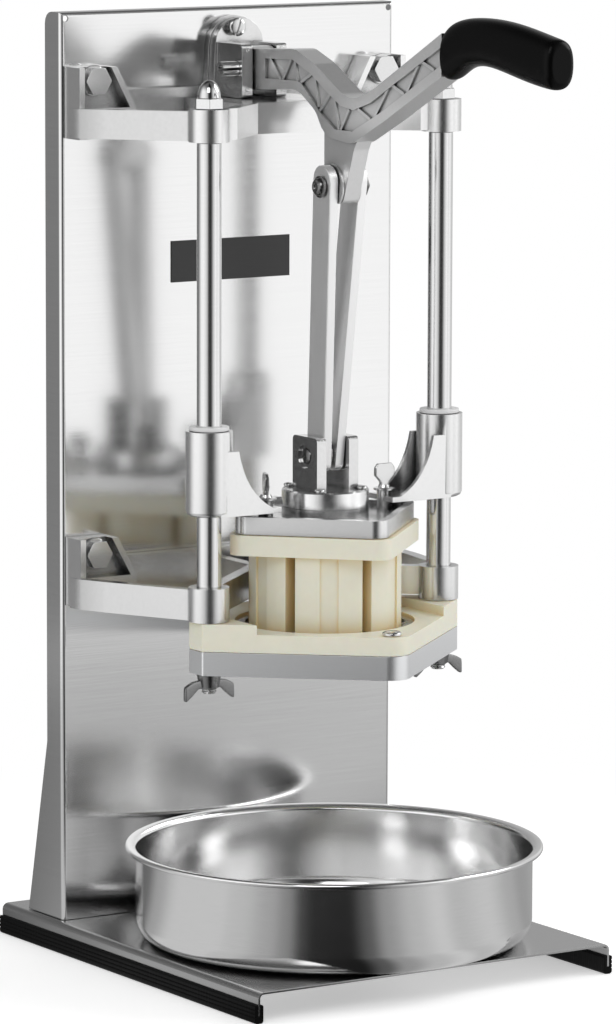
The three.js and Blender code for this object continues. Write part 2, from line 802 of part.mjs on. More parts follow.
// Hinge bracket: arched plate in two layers with two ears
{
  const arch = (grow) => rounded([
    [-hingeHalfLow - grow, hingeBottom], [hingeHalfLow + grow, hingeBottom],
    [hingeHalfTop + grow, hingeTop + grow, hingeHalfTop + grow - weld],
    [-hingeHalfTop - grow, hingeTop + grow, hingeHalfTop + grow - weld],
  ]);
  const plateFront = footBack - hingePlate;
  const ears = sides.map(([, side]) => alongX(rounded([
    [earFront, hingeBottom, earRound], [plateFront + hingeLayer / 2, hingeBottom],
    [plateFront + hingeLayer / 2, earTop], [earFront, earTop, earRound],
  ]), Math.min(side * earInner, side * earOuter), Math.max(side * earInner, side * earOuter)));
  const whole = joined([
    alongY(arch(-hingeStep), plateFront, footBack), alongY(arch(0), plateFront + hingeLayer,
      footBack), ...ears,
  ]);
  addPiece("hinge_bracket", cutBy(whole, [
    alongX(circle(pivotY, pivotZ, hingePinRadius + gap, smallFacets),
      -earOuter - overrun, earOuter + overrun),
    alongY(circle(screwX, screwZ, screwShank + gap, smallFacets),
      plateFront - overrun, footBack + overrun),
  ]), castAluminium);
}

// Slotted screw of the hinge bracket and its nut behind the panel
{
  const nutFront = panelBack + gap;
  const slot = alongY(rectangle(screwX - screwSlot / 2, screwX + screwSlot / 2,
    screwZ - screwHeadRadius - overrun, screwZ + screwHeadRadius + overrun),
  screwFront - overrun, screwFront + screwSlot);
  addPiece("hinge_screw", joined([
    alongY(circle(screwX, screwZ, screwHeadRadius, smallFacets), screwFront,
      screwFront + screwHead),
    alongY(circle(screwX, screwZ, screwShank, smallFacets), screwFront + screwHead / 2,
      nutFront + screwNutThick + boltSpare),
  ]).subtract(slot), zinc);
  addPiece("hinge_nut", alongY(hexagon(screwX, screwZ, screwNutFlats), nutFront,
    nutFront + screwNutThick).subtract(alongY(
    circle(screwX, screwZ, screwShank + gap, smallFacets), nutFront - overrun,
    nutFront + screwNutThick + overrun)), zinc);
}

// Hinge pin: a slotted spring pin
addPiece("hinge_pin", cutBy(
  alongX(circle(pivotY, pivotZ, hingePinRadius, smallFacets), -hingePinReach, hingePinFar), [
    alongX(circle(pivotY, pivotZ, hingePinBore, smallFacets), -hingePinReach - overrun,
      hingePinFar + overrun),
    alongX(rectangle(pivotY - hingePinRadius - overrun, pivotY, pivotZ - hingePinSlot / 2,
      pivotZ + hingePinSlot / 2), -hingePinReach - overrun, hingePinFar + overrun),
  ],
), zinc);

// Lever casting: cranked arm with rims, a recessed web, truss ribs and a lug below
const leverPoint = ([ahead, above]) => [pivotY - ahead * leverSpan, pivotZ + above * leverSpan];
const leverEnd = pivotY - leverSpan;
{
  const corners = [...leverTopShares, ...leverBottomShares].map((share, i) => {
    const last = leverTopShares.length - 1;
    const sharp = i === 0 || i === last || i === last + 1
      || i === leverTopShares.length + leverBottomShares.length - 1;
    return [...leverPoint(share), sharp ? 0 : leverEdgeRound];
  });
  const body = alongX(rounded(corners), -leverHalf, leverHalf);
  const hub = alongX(circle(pivotY, pivotZ, leverHub), -leverHalf, leverHalf);
  const lug = alongX(rounded([
    [lugY + lugRear, lugZ + lugRise], [lugY + lugRear, lugZ - lugBelow, lugRound],
    [lugY - lugNose, lugZ - lugBelow + lugToeRise, lugRound / 2],
    [lugY - lugHeel, lugZ + lugHeelRise, lugRound], [lugY - lugHeel - lugFlare, lugZ + lugRise],
  ]), -lugHalf, lugHalf);
  const padOutline = rounded([
    [lugY + lugRear, lugZ + lugRise], [lugY + lugRear, lugZ - lugBelow, lugRound],
    [lugY - lugNose, lugZ - lugBelow + lugToeRise, lugRound / 2],
    [lugY - lugHeel, lugZ + lugHeelRise], [lugY - lugHeel, lugZ + lugRise],
  ]);
  const pad = alongX(padOutline, -lugPadHalf, lugPadHalf)
    .intersect(alongX(circle(lugY, lugZ, lugPadRadius), -lugPadHalf, lugPadHalf));
  const recess = [...recessTopShares, ...recessBottomShares].map(leverPoint);
  const recesses = sides.map(([, side]) => alongX(recess,
    Math.min(side * leverWebHalf, side * (leverHalf + overrun)),
    Math.max(side * leverWebHalf, side * (leverHalf + overrun))));
  const ribHalf = leverHalf - leverRibDrop;
  const ribs = ribShares.map(([ahead0, above0, ahead1, above1]) => alongX(
    ribbon([leverPoint([ahead0, above0]), leverPoint([ahead1, above1])], leverRibThick),
    -ribHalf, ribHalf));
  const tangZ = pivotZ + tangRise
    + (leverTopShares.at(-1)[1] + leverBottomShares[0][1]) * leverSpan / 2;
  const tang = alongX(rectangle(leverEnd - tangLength, leverEnd + overrun,
    tangZ - tangHeight / 2, tangZ + tangHeight / 2), -tangHalf, tangHalf);
  const arm = cutBy(joined([body, hub]), recesses);
  addPiece("lever_casting", cutBy(joined([arm, ...ribs, lug, pad, tang]), [
    alongX(circle(pivotY, pivotZ, hingePinRadius + gap, smallFacets),
      -leverHalf - overrun, leverHalf + overrun),
    alongX(circle(lugY, lugZ, lugPinRadius + gap, smallFacets),
      -lugPadHalf - overrun, lugPadHalf + overrun),
  ]), leverAluminium);
  addPiece("lug_pin", alongX(circle(lugY, lugZ, lugPinRadius, smallFacets),
    -lugPadHalf, lugPadHalf), zinc);

  // Grip: a loft of rounded sections that follows the upper and lower curves
  const curveOf = (shares) => {
    const spline = new THREE.CatmullRomCurve3(
      shares.map(([along, value]) => new THREE.Vector3(along, value, 0)), false, "centripetal",
    );
    const samples = spline.getPoints(gripRings * arcSteps);
    return (along) => {
      const next = samples.findIndex((point) => point.x >= along);
      if (next <= 0) {
        return samples[0].y;
      }
      const [a, b] = [samples[next - 1], samples[next]];
      return a.y + ((b.y - a.y) * (along - a.x)) / (b.x - a.x);
    };
  };
  const topAt = curveOf(gripTopShares);
  const bottomAt = curveOf(gripBottomShares);
  const widthAt = curveOf(gripWidthShares);
  const positions = [];
  const gripStart = leverEnd - gap;
  for (let ring = 0; ring <= gripRings; ring += 1) {
    const along = (1 - Math.cos((Math.PI * ring) / gripRings)) / 2;
    const top = pivotZ + topAt(along) * leverSpan;
    const bottom = pivotZ + bottomAt(along) * leverSpan;
    const pastRound = Math.max(gripEndRound - gripLength * (1 - along), 0);
    const tuck = gripEndRound - Math.sqrt(gripEndRound ** 2 - pastRound ** 2);
    const half = gripHalf * widthAt(along) - tuck;
    for (let i = 0; i < gripRingPoints; i += 1) {
      const angle = (2 * Math.PI * i) / gripRingPoints;
      const across = Math.sign(Math.cos(angle)) * Math.abs(Math.cos(angle)) ** gripSquareShare;
      const up = Math.sign(Math.sin(angle)) * Math.abs(Math.sin(angle)) ** gripSquareShare;
      positions.push(half * across, gripStart - along * gripLength,
        (top + bottom) / 2 + ((top - bottom) / 2 - tuck) * up);
    }
  }
  const index = [];
  for (let ring = 0; ring < gripRings; ring += 1) {
    for (let i = 0; i < gripRingPoints; i += 1) {
      const a = ring * gripRingPoints + i;
      const b = ring * gripRingPoints + ((i + 1) % gripRingPoints);
      index.push(a, b, b + gripRingPoints, a, b + gripRingPoints, a + gripRingPoints);
    }
  }
  const last = gripRings * gripRingPoints;
  for (let i = 1; i < gripRingPoints - 1; i += 1) {
    index.push(0, i + 1, i, last, last + i, last + i + 1);
  }
  const loft = new THREE.BufferGeometry();
  loft.setAttribute("position", new THREE.BufferAttribute(new Float32Array(positions), 3));
  loft.setIndex(index);
  const socket = alongX(rectangle(leverEnd - tangLength - tangClear, leverEnd + overrun,
    tangZ - tangHeight / 2 - tangClear, tangZ + tangHeight / 2 + tangClear),
  -tangHalf - tangClear, tangHalf + tangClear);
  const grip = solidOf(loft);
  addPiece("grip", grip.subtract(socket), rubber);
}

// Links: two flat bars that lean inward towards the clevis
const linkLean = Math.atan2(-lugY, lugZ - linkLowerZ);
const linkLength = Math.hypot(lugY, lugZ - linkLowerZ);
const linkSlope = (linkInnerTop - linkInnerLow) / (lugZ - linkLowerZ);
{
  const along = (distance, across) => [
    -distance * Math.sin(linkLean) + across * Math.cos(linkLean),
    linkLowerZ + distance * Math.cos(linkLean) + across * Math.sin(linkLean),
  ];
  const half = linkWide / 2;
  const outline = rounded([
    [...along(-linkEndLow, -half), half * linkEndLow / linkWide],
    [...along(-linkEndLow, half), half * linkEndLow / linkWide],
    [...along(linkLength + linkEndTop, half), half - weld],
    [...along(linkLength + linkEndTop, -half), half - weld],
  ]);
  for (const [name, side] of sides) {
    const inner = side * linkInnerLow;
    const outer = side * (linkInnerLow + linkThick);
    const lean = new THREE.Matrix4().set(
      1, 0, side * linkSlope, -side * linkSlope * linkLowerZ,
      0, 1, 0, 0,
      0, 0, 1, 0,
      0, 0, 0, 1,
    );
    const turn = new THREE.Matrix4().makeBasis(
      new THREE.Vector3(0, 1, 0), new THREE.Vector3(0, 0, 1), new THREE.Vector3(1, 0, 0),
    );
    const flat = extruded(outline, linkThick).applyMatrix4(turn)
      .translate(Math.min(inner, outer), 0, 0).applyMatrix4(lean);
    const bar = cutBy(solidOf(flat), [
      alongX(circle(0, linkLowerZ, linkPinRadius + gap, smallFacets),
        -linkInnerTop - overrun * 2, linkInnerTop + overrun * 2),
      alongX(circle(lugY, lugZ, knobStub + gap, smallFacets),
        Math.min(0, side * (linkInnerTop + linkThick + overrun)),
        Math.max(0, side * (linkInnerTop + linkThick + overrun))),
    ]);
    addPiece(`link_${name}`, bar, castAluminium);
    const face = linkInnerTop + linkThick + gap * 2;
    const stubStart = side * (lugPadHalf + gap);
    const headOuter = side * (face + knobThick);
    const head = side < 0
      ? circle(lugY, lugZ, knobRadius, smallFacets)
      : hexagon(lugY, lugZ, linkNutFlats);
    addPiece(side < 0 ? "link_bolt" : "link_bolt_nut", joined([
      alongX(head, Math.min(side * face, headOuter), Math.max(side * face, headOuter)),
      alongX(circle(lugY, lugZ, knobStub, smallFacets), Math.min(stubStart, headOuter),
        Math.max(stubStart, headOuter)),
    ]), zinc);
  }
  addPiece("link_roller", alongX(circle(0, linkLowerZ, rollerRadius, smallFacets),
    -linkInnerLow + gap * 2, linkInnerLow - gap * 2).subtract(
    alongX(circle(0, linkLowerZ, linkPinRadius + gap, smallFacets), -overrun, overrun)), zinc);
}

// Clevis: disc with two ears, a recess round the pin, the pin and the disc's screws
{
  const clevisInner = linkInnerLow + linkThick + gap + linkSlope * (clevisTop - linkLowerZ);
  const disc = turned([
    [0, discBottom], [discRadius, discBottom], [discRadius, discTop - discChamfer],
    [discRadius - discChamfer, discTop], [0, discTop],
  ], 0, 0);
  const ears = sides.map(([, side]) => alongX(rounded([
    [-clevisHalfY, discTop - discChamfer], [clevisHalfY, discTop - discChamfer],
    [clevisHalfY, clevisTop, clevisRound], [-clevisHalfY, clevisTop, clevisRound],
  ]), Math.min(side * clevisInner, side * clevisOuter),
  Math.max(side * clevisInner, side * clevisOuter)));
  const recesses = sides.map(([, side]) => alongX(
    circle(0, linkLowerZ, clevisRecess, smallFacets),
    Math.min(side * (clevisOuter - clevisRecessDeep), side * (clevisOuter + overrun)),
    Math.max(side * (clevisOuter - clevisRecessDeep), side * (clevisOuter + overrun))));
  const holes = [];
  const seat = discTop + gap;
  for (const [endName, end] of [["front", -1], ["rear", 1]]) {
    for (const [name, side] of sides) {
      const x = side * clevisScrewX;
      const y = end * clevisScrewY;
      holes.push(alongZ(circle(x, y, clevisScrewShank + gap, smallFacets / 2),
        discBottom - overrun, discTop + overrun));
      const head = alongZ(circle(x, y, clevisScrewRadius, smallFacets), seat,
        seat + clevisScrewHead);
      const slot = alongZ(rectangle(x - clevisScrewRadius - overrun,
        x + clevisScrewRadius + overrun, y - clevisScrewSlot / 2, y + clevisScrewSlot / 2),
      seat + clevisScrewHead - clevisScrewSlot, seat + clevisScrewHead + overrun);
      const shank = alongZ(circle(x, y, clevisScrewShank, smallFacets / 2),
        discBottom + gap, seat + clevisScrewHead / 2);
      addPiece(`clevis_screw_${endName}_${name}`, joined([head, shank]).subtract(slot), zinc);
    }
  }
  addPiece("clevis", cutBy(joined([disc, ...ears]), [
    ...recesses, ...holes,
    alongX(circle(0, linkLowerZ, linkPinRadius + gap, smallFacets),
      -clevisOuter - overrun, clevisOuter + overrun),
  ]), castAluminium);
  addPiece("clevis_pin", alongX(circle(0, linkLowerZ, linkPinRadius, smallFacets),
    -clevisOuter + clevisRecessDeep / 2, clevisOuter - clevisRecessDeep / 2), zinc);
}

// Pusher casting: tray, pedestal, arms with paired fins, sleeves
{
  const inset = trayRim * Math.SQRT2;
  const tray = alongZ(diamond(trayHalfDiagonal, trayCorner), trayBottom, trayTop).subtract(
    alongZ(diamond(trayHalfDiagonal - inset, trayCorner / 2), trayTop - trayRecess,
      trayTop + overrun));
  const deck = discBottom - gap;
  const pedestal = alongZ(circle(0, 0, discRadius), trayTop - trayRecess - sheet, deck);
  const sideParts = sides.flatMap(([, side]) => {
    const flip = (outline) => outline.map(([u, v]) => [side * u, v]);
    const plate = alongZ(flip(rectangle(armPlateStart, rodX, -armPlateHalf, armPlateHalf)),
      sleeveBottom, sleeveBottom + armPlateThick).subtract(
      alongZ(circle(0, 0, discRadius + gap), sleeveBottom + weld, finTop));
    const bend = new THREE.QuadraticBezierCurve(
      new THREE.Vector2(rodX - sleeveRadius + finThick / 2, finTop),
      new THREE.Vector2(finInner + (rodX - sleeveRadius - finInner) * finBendShare,
        finLow + (finTop - finLow) * (1 - finBendShare) * 2),
      new THREE.Vector2(finInner, finLow),
    );
    const arc = bend.getPoints(arcSteps * 2).map((point) => [point.x, point.y]);
    const finOutline = [
      [armPlateStart, sleeveBottom], [rodX, sleeveBottom], [rodX, finTop], ...arc,
      [armPlateStart, finLow],
    ];
    const fins = [-1, 1].map((end) => alongY(flip(finOutline),
      Math.min(end * (armPlateHalf - finThick), end * armPlateHalf),
      Math.max(end * (armPlateHalf - finThick), end * armPlateHalf)));
    const sleeve = turned([
      [0, sleeveBottom], [sleeveRadius - sleeveRound, sleeveBottom],
      [sleeveRadius - sleeveRound / 3, sleeveBottom + sleeveRound / 3],
      [sleeveRadius, sleeveBottom + sleeveRound], [sleeveRadius, sleeveTop], [0, sleeveTop],
    ], side * rodX, 0);
    const boss = alongZ(circle(side * thumbX, 0, thumbBoss, smallFacets),
      trayTop - trayRecess - sheet, thumbBossTop);
    return [plate, ...fins, sleeve, boss];
  });
  const cuts = sides.flatMap(([, side]) => [
    alongZ(circle(side * rodX, 0, bushRadius + gap), sleeveBottom - overrun,
      sleeveTop + overrun),
    alongZ(circle(side * thumbX, 0, thumbShank + gap, smallFacets), trayBottom - overrun,
      thumbBossTop + overrun),
  ]);
  addPiece("pusher_casting", cutBy(joined([tray, pedestal, ...sideParts]), cuts),
    castAluminium);
}

for (const [name, side] of sides) {
  const x = side * rodX;
  const flangeSeat = sleeveTop + gap;
  addPiece(`bush_${name}`, turned([
    [0, sleeveBottom], [bushRadius, sleeveBottom], [bushRadius, flangeSeat],
    [bushFlange, flangeSeat], [bushFlange, flangeSeat + bushFlangeThick],
    [0, flangeSeat + bushFlangeThick],
  ], x, 0).subtract(alongZ(circle(x, 0, rodRadius + gap), sleeveBottom - overrun,
    sleeveTop + overrun * 2)), nylon);

  const tx = side * thumbX;
  const seat = thumbBossTop + gap;
  const spade = rounded([
    [tx - spadeNeck, seat + thumbWasherThick], [tx + spadeNeck, seat + thumbWasherThick],
    [tx + spadeNeck, seat + thumbWasherThick + spadeNeckRise],
    [tx + spadeWide / 2, seat + thumbWasherThick + spadeNeckRise * 2],
    [tx + spadeWide / 2, spadeTop, spadeRound], [tx - spadeWide / 2, spadeTop, spadeRound],
    [tx - spadeWide / 2, seat + thumbWasherThick + spadeNeckRise * 2],
    [tx - spadeNeck, seat + thumbWasherThick + spadeNeckRise],
  ]);
  const turn = side < 0 ? thumbTurn : 0;
  addPiece(`thumb_screw_${name}`, joined([
    alongY(spade, -spadeThick / 2, spadeThick / 2).translate([-tx, 0, 0])
      .rotate([0, 0, turn]).translate([tx, 0, 0]),
    alongZ(circle(tx, 0, thumbWasher, smallFacets), seat, seat + thumbWasherThick),
    alongZ(circle(tx, 0, thumbShank, smallFacets), blockTop - thumbDepth,
      seat + thumbWasherThick / 2),
  ]), zinc);
}

// Pusher block: flange and six fingers with slots between them for the blades
{
  const flange = alongZ(diamond(blockHalfDiagonal, blockCorner), blockBottom, blockTop);
  const column = alongZ(circle(0, 0, fingerRadius, ringFacets), fingerBottom,
    blockBottom + sheet);
  const cuts = [];
  for (let i = 0; i < wedges; i += 1) {
    const angle = (2 * Math.PI * (i + 0.5)) / wedges;
    const [c, s] = [Math.cos(angle), Math.sin(angle)];
    const spot = (out, across) => [out * c - across * s, out * s + across * c];
    const reach = fingerRadius + overrun;
    cuts.push(alongZ([
      spot(0, -fingerSlot / 2), spot(reach, -fingerSlot / 2),
      spot(reach, fingerSlot / 2), spot(0, fingerSlot / 2),
    ], fingerBottom - overrun, blockBottom));
    const [gc, gs] = [Math.cos(angle + Math.PI / wedges), Math.sin(angle + Math.PI / wedges)];
    const groove = (out, across) => [out * gc - across * gs, out * gs + across * gc];
    const depth = fingerRadius - fingerGrooveDeep;
    cuts.push(alongZ([
      groove(depth, -fingerGroove / 2), groove(reach, -fingerGroove / 2),
      groove(reach, fingerGroove / 2), groove(depth, fingerGroove / 2),
    ], fingerBottom - overrun, blockBottom));
  }
  for (const [, side] of sides) {
    cuts.push(alongZ(circle(side * thumbX, 0, thumbShank + gap, smallFacets),
      blockTop - thumbDepth - gap, blockTop + overrun));
  }
  addPiece("pusher_block", cutBy(flange.add(column), cuts), ivory);
}

// Guide plate and lower plate share one outline
const plateOutline = rounded([
  [plateHalfLength, -plateEndHalf, plateEndRound], [plateHalfLength, plateEndHalf, plateEndRound],
  [0, platePoint, platePointRound], [-plateHalfLength, plateEndHalf, plateEndRound],
  [-plateHalfLength, -plateEndHalf, plateEndRound], [0, -platePoint, platePointRound],
]);
{
  const padTop = lowerBossBottom - gap;
  const pads = sides.map(([, side]) => alongZ(plateOutline, guideBottom, padTop).intersect(
    alongZ(rectangle(
      Math.min(side * guidePadInner, side * (plateHalfLength + overrun)),
      Math.max(side * guidePadInner, side * (plateHalfLength + overrun)),
      -platePoint, platePoint,
    ), guideBottom, padTop)));
  const guideHoles = sides.map(([, side]) => alongZ(circle(side * rodX, 0, rodRadius + gap),
    guideBottom - overrun, padTop + overrun));
  const screwHoles = [-1, 1].map((end) => alongZ(
    circle(0, end * plateScrewY, plateScrewShank + gap, smallFacets),
    lowerPlateBottom - overrun, padTop + overrun));
  addPiece("guide_plate", cutBy(
    joined([alongZ(plateOutline, guideBottom, guideTop), ...pads]), [
      ...guideHoles, ...screwHoles,
      alongZ(circle(0, 0, guideHole, ringFacets), guideBottom - overrun,
        guideTop + overrun),
    ],
  ), ivory);

  const lowerTop = guideBottom - gap;
  const studHoles = sides.map(([, side]) => alongZ(
    circle(side * rodX, 0, studRadius + gap, smallFacets), lowerPlateBottom - overrun,
    lowerTop + overrun));
  addPiece("blade_plate", cutBy(alongZ(plateOutline, lowerPlateBottom, lowerTop), [
    ...studHoles, ...screwHoles,
    alongZ(circle(0, 0, lowerPlateHole, ringFacets), lowerPlateBottom - overrun,
      lowerTop + overrun),
    alongZ(circle(0, 0, ringOuter + gap, ringFacets), bladeSeat, lowerTop + overrun),
    alongZ(circle(0, 0, ringFlange + gap, ringFacets),
      lowerTop - ringFlangeThick - gap, lowerTop + overrun),
  ]), plateAluminium);

  for (const [name, end] of [["front", -1], ["rear", 1]]) {
    const y = end * plateScrewY;
    const seat = guideTop + gap;
    const slot = alongZ(rectangle(-plateScrewHead - overrun, plateScrewHead + overrun,
      y - plateScrewSlot / 2, y + plateScrewSlot / 2),
    seat + plateScrewHeadThick - plateScrewSlot, seat + plateScrewHeadThick + overrun);
    addPiece(`plate_screw_${name}`, joined([
      turned([
        [0, seat], [plateScrewHead, seat], [plateScrewHead, seat + plateScrewHeadThick / 2],
        [plateScrewHead * 0.8, seat + plateScrewHeadThick * 0.9],
        [0, seat + plateScrewHeadThick],
      ], 0, y, smallFacets),
      alongZ(circle(0, y, plateScrewShank, smallFacets), lowerPlateBottom + gap,
        seat + plateScrewHeadThick / 3),
    ]).subtract(slot), zinc);
  }
}

// Blade set: ring clamped by its flange, with six radial blades
{
  const bottom = bladeSeat + gap;
  const flangeTop = guideBottom - gap;
  const ring = turned([
    [ringInner, bottom], [ringOuter, bottom], [ringOuter, flangeTop - ringFlangeThick],
    [ringFlange, flangeTop - ringFlangeThick], [ringFlange, flangeTop], [ringOuter, flangeTop],
    [ringOuter, ringTop], [ringInner, ringTop], [ringInner, bottom],
  ], 0, 0, ringFacets);
  const blades = [];
  for (let i = 0; i < wedges / 2; i += 1) {
    const angle = (2 * Math.PI * (i + 0.5)) / wedges + Math.PI / 2;
    const section = [
      [-bladeThick / 2, bottom], [bladeThick / 2, bottom], [bladeThick / 2, ringTop - bladeBevel],
      [0, ringTop], [-bladeThick / 2, ringTop - bladeBevel],
    ];
    const length = ringInner + ringOuter;
    const geometry = extruded(section, length).rotateX(Math.PI / 2)
      .translate(0, length / 2, 0).rotateZ(angle);
    blades.push(solidOf(geometry));
  }
  addPiece("blade_set", joined([ring, ...blades]), bladeSteel);
}

// Catch pan: spun shell with a rolled rim
{
  const bottom = baseTop + gap;
  const profile = [[0, bottom]];
  for (let i = 0; i <= panSteps; i += 1) {
    const angle = (Math.PI / 2) * (i / panSteps);
    profile.push([
      panBody - panFloorRound + panFloorRound * Math.sin(angle),
      bottom + panFloorRound - panFloorRound * Math.cos(angle),
    ]);
  }
  profile.push(
    [panBody, panTop - panRimDrop * 2], [panRim - panRimDrop, panTop - panRimDrop * 2],
    [panRim, panTop - panRimDrop], [panRim - panRimDrop, panTop], [panBody - panWall, panTop],
  );
  for (let i = panSteps; i >= 0; i -= 1) {
    const angle = (Math.PI / 2) * (i / panSteps);
    const round = panFloorRound - panWall;
    profile.push([
      panBody - panFloorRound + round * Math.sin(angle),
      bottom + panFloorRound - round * Math.cos(angle),
    ]);
  }
  profile.push([0, bottom + panWall]);
  addPiece("catch_pan", turned(profile, panX, panY, ringFacets), panSteel);
}

// The origin is the middle of the box's base
const box = new THREE.Box3().setFromObject(part);
const centre = box.getCenter(new THREE.Vector3());
part.position.set(-centre.x, -centre.y, -box.min.z);

export default part;
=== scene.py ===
# %% [markdown]
# # A lever fruit wedger on a stand
# The machine is already built as exact solids. This file dresses them: it loads the solids
# as a fixed frame, gives every casting, plate and rod its finish, models the small parts
# that deserve more care, and sets up the studio. Blender counts in metres, so small sizes
# are written in millimetres and multiplied by MM.

# %% Load the frame
import math

import bpy
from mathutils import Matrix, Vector
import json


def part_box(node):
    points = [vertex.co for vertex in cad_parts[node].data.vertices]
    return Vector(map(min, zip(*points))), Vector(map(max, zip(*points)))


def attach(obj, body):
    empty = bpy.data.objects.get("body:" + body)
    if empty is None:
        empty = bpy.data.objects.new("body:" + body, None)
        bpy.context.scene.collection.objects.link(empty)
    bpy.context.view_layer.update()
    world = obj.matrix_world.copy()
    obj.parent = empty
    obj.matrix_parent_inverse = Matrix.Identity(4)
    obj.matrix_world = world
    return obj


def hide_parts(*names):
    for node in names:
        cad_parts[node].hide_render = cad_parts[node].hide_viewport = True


MM = 0.001
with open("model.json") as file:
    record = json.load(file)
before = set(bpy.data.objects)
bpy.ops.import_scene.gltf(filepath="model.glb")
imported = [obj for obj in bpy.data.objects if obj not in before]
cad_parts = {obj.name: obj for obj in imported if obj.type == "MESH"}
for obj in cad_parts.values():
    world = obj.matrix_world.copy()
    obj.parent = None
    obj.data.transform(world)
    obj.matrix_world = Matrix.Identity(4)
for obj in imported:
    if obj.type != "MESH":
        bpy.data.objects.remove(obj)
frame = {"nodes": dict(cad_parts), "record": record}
nodes = frame["nodes"]
bodies = frame["record"]["behaviour"]["bodies"]
body_of_node = {node: body for body, names in bodies.items() for node in names}
slot_of_node = {part["node"]: part["material_slot"] for part in frame["record"]["subparts"]}
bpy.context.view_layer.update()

# %% [markdown]
# ## Camera
# The photograph was taken from the left and a little above, with a long lens from almost
# four metres away, so upright edges stay nearly parallel. A long lens far off is chosen
# because a short one close by would make the base look much wider than the top.

# %% Camera
CAMERA_PLACE = (-2.0824, -3.16301, 0.84991)  # metres
CAMERA_TURN = (81.782, -0.167, -32.891)  # degrees
camera_data = bpy.data.cameras.new("studio_camera")
camera_data.sensor_width = 36
camera_data.lens = 208.2
camera_data.clip_end = 100
camera = bpy.data.objects.new("studio_camera", camera_data)
bpy.context.scene.collection.objects.link(camera)
camera.location = CAMERA_PLACE
camera.rotation_euler = [math.radians(turn) for turn in CAMERA_TURN]
bpy.context.scene.camera = camera
print("metres from the camera to the middle of the floor:", round(camera.location.length, 2))

# %% [markdown]
# ## Cloths round the room
# Polished metal shows whatever stands round it, so the studio matters more than any colour.
# The room is white with dark cloths hung in it: the one beside the camera draws the dark
# stripe down each rod, and the ones behind the stand grey the upright edges. They are one
# colour ramp wrapped round the room by the direction that a ray looks in. Real planes would
# do it too, but they would also throw shadows, and a stop of a ramp is easier to move.

# %% Cloths
CLOTHS = [
    # part of a turn round the room from -x, brightness of what hangs there
    (0.0, 1.0), (0.06, 0.84), (0.1, 0.62), (0.125, 0.4), (0.145, 0.08), (0.16, 0.03),
    (0.21, 0.02), (0.235, 0.16), (0.26, 0.5), (0.3, 0.8), (0.34, 1.0), (0.37, 0.82),
    (0.43, 0.96), (0.49, 0.7), (0.53, 0.56), (0.6, 0.62), (0.65, 0.44), (0.68, 0.34),
    (0.76, 0.22), (0.82, 0.17), (0.86, 0.24), (0.9, 0.6), (0.95, 0.95),
]


def cloth_bands(tree, direction, shift=0.0):
    split = tree.nodes.new("ShaderNodeSeparateXYZ")
    azimuth = tree.nodes.new("ShaderNodeMath")
    azimuth.operation = "ARCTAN2"
    turns = tree.nodes.new("ShaderNodeMapRange")
    turns.inputs["From Min"].default_value = -math.pi
    turns.inputs["From Max"].default_value = math.pi
    turns.inputs["To Min"].default_value = shift
    turns.inputs["To Max"].default_value = 1 + shift
    bands = tree.nodes.new("ShaderNodeValToRGB")
    bands.color_ramp.interpolation = "EASE"
    while len(bands.color_ramp.elements) < len(CLOTHS):
        bands.color_ramp.elements.new(0.5)
    for stop, (place, bright) in zip(bands.color_ramp.elements, CLOTHS):
        stop.position = place
        stop.color = (bright, bright, bright, 1)
    tree.links.new(direction, split.inputs[0])
    tree.links.new(split.outputs["Y"], azimuth.inputs[0])
    tree.links.new(split.outputs["X"], azimuth.inputs[1])
    tree.links.new(azimuth.outputs[0], turns.inputs["Value"])
    tree.links.new(turns.outputs[0], bands.inputs[0])
    return bands.outputs[0]


print("stops round the room:", len(CLOTHS))

# %% [markdown]
# ## The room as polished metal sees it
# At eye level the room is bright, and the ceiling above it is dark, so that the tops of the
# castings don't burn out. One world shader can do both: the ramp of cloths is its colour,
# and its strength falls smoothly as the ray looks higher.

# %% Room
def smooth_range(tree, value, low, high, at_low, at_high):
    between = tree.nodes.new("ShaderNodeMapRange")
    between.interpolation_type = "SMOOTHSTEP"
    between.inputs["From Min"].default_value = low
    between.inputs["From Max"].default_value = high
    between.inputs["To Min"].default_value = at_low
    between.inputs["To Max"].default_value = at_high
    tree.links.new(value, between.inputs["Value"])
    return between.outputs[0]


world = bpy.data.worlds.new("white_studio")
bpy.context.scene.world = world
world.use_nodes = True
sky = world.node_tree
sky.nodes.clear()
where = sky.nodes.new("ShaderNodeTexCoord")
height = sky.nodes.new("ShaderNodeSeparateXYZ")
room = sky.nodes.new("ShaderNodeBackground")
sky.links.new(where.outputs["Generated"], height.inputs[0])
ceiling = smooth_range(sky, height.outputs["Z"], low=0.35, high=0.85, at_low=1.15, at_high=0.16)
sky.links.new(ceiling, room.inputs["Strength"])
sky.links.new(cloth_bands(sky, where.outputs["Generated"]), room.inputs["Color"])
print("nodes for the room:", len(sky.nodes))

# %% [markdown]
# ## Who sees what
# Only reflections should show the cloths. Light Path tells which kind of ray is asking: a
# glossy ray gets the cloths, a camera or transmission ray gets the plain white backdrop, and
# every other ray gets even light. So the cloths shape the metal without darkening the
# plastic, and the backdrop is exactly white without more light on the machine.

# %% World
def mix_shaders(tree, share, first, second):
    mix = tree.nodes.new("ShaderNodeMixShader")
    tree.links.new(share, mix.inputs[0])
    tree.links.new(first, mix.inputs[1])
    tree.links.new(second, mix.inputs[2])
    return mix.outputs[0]


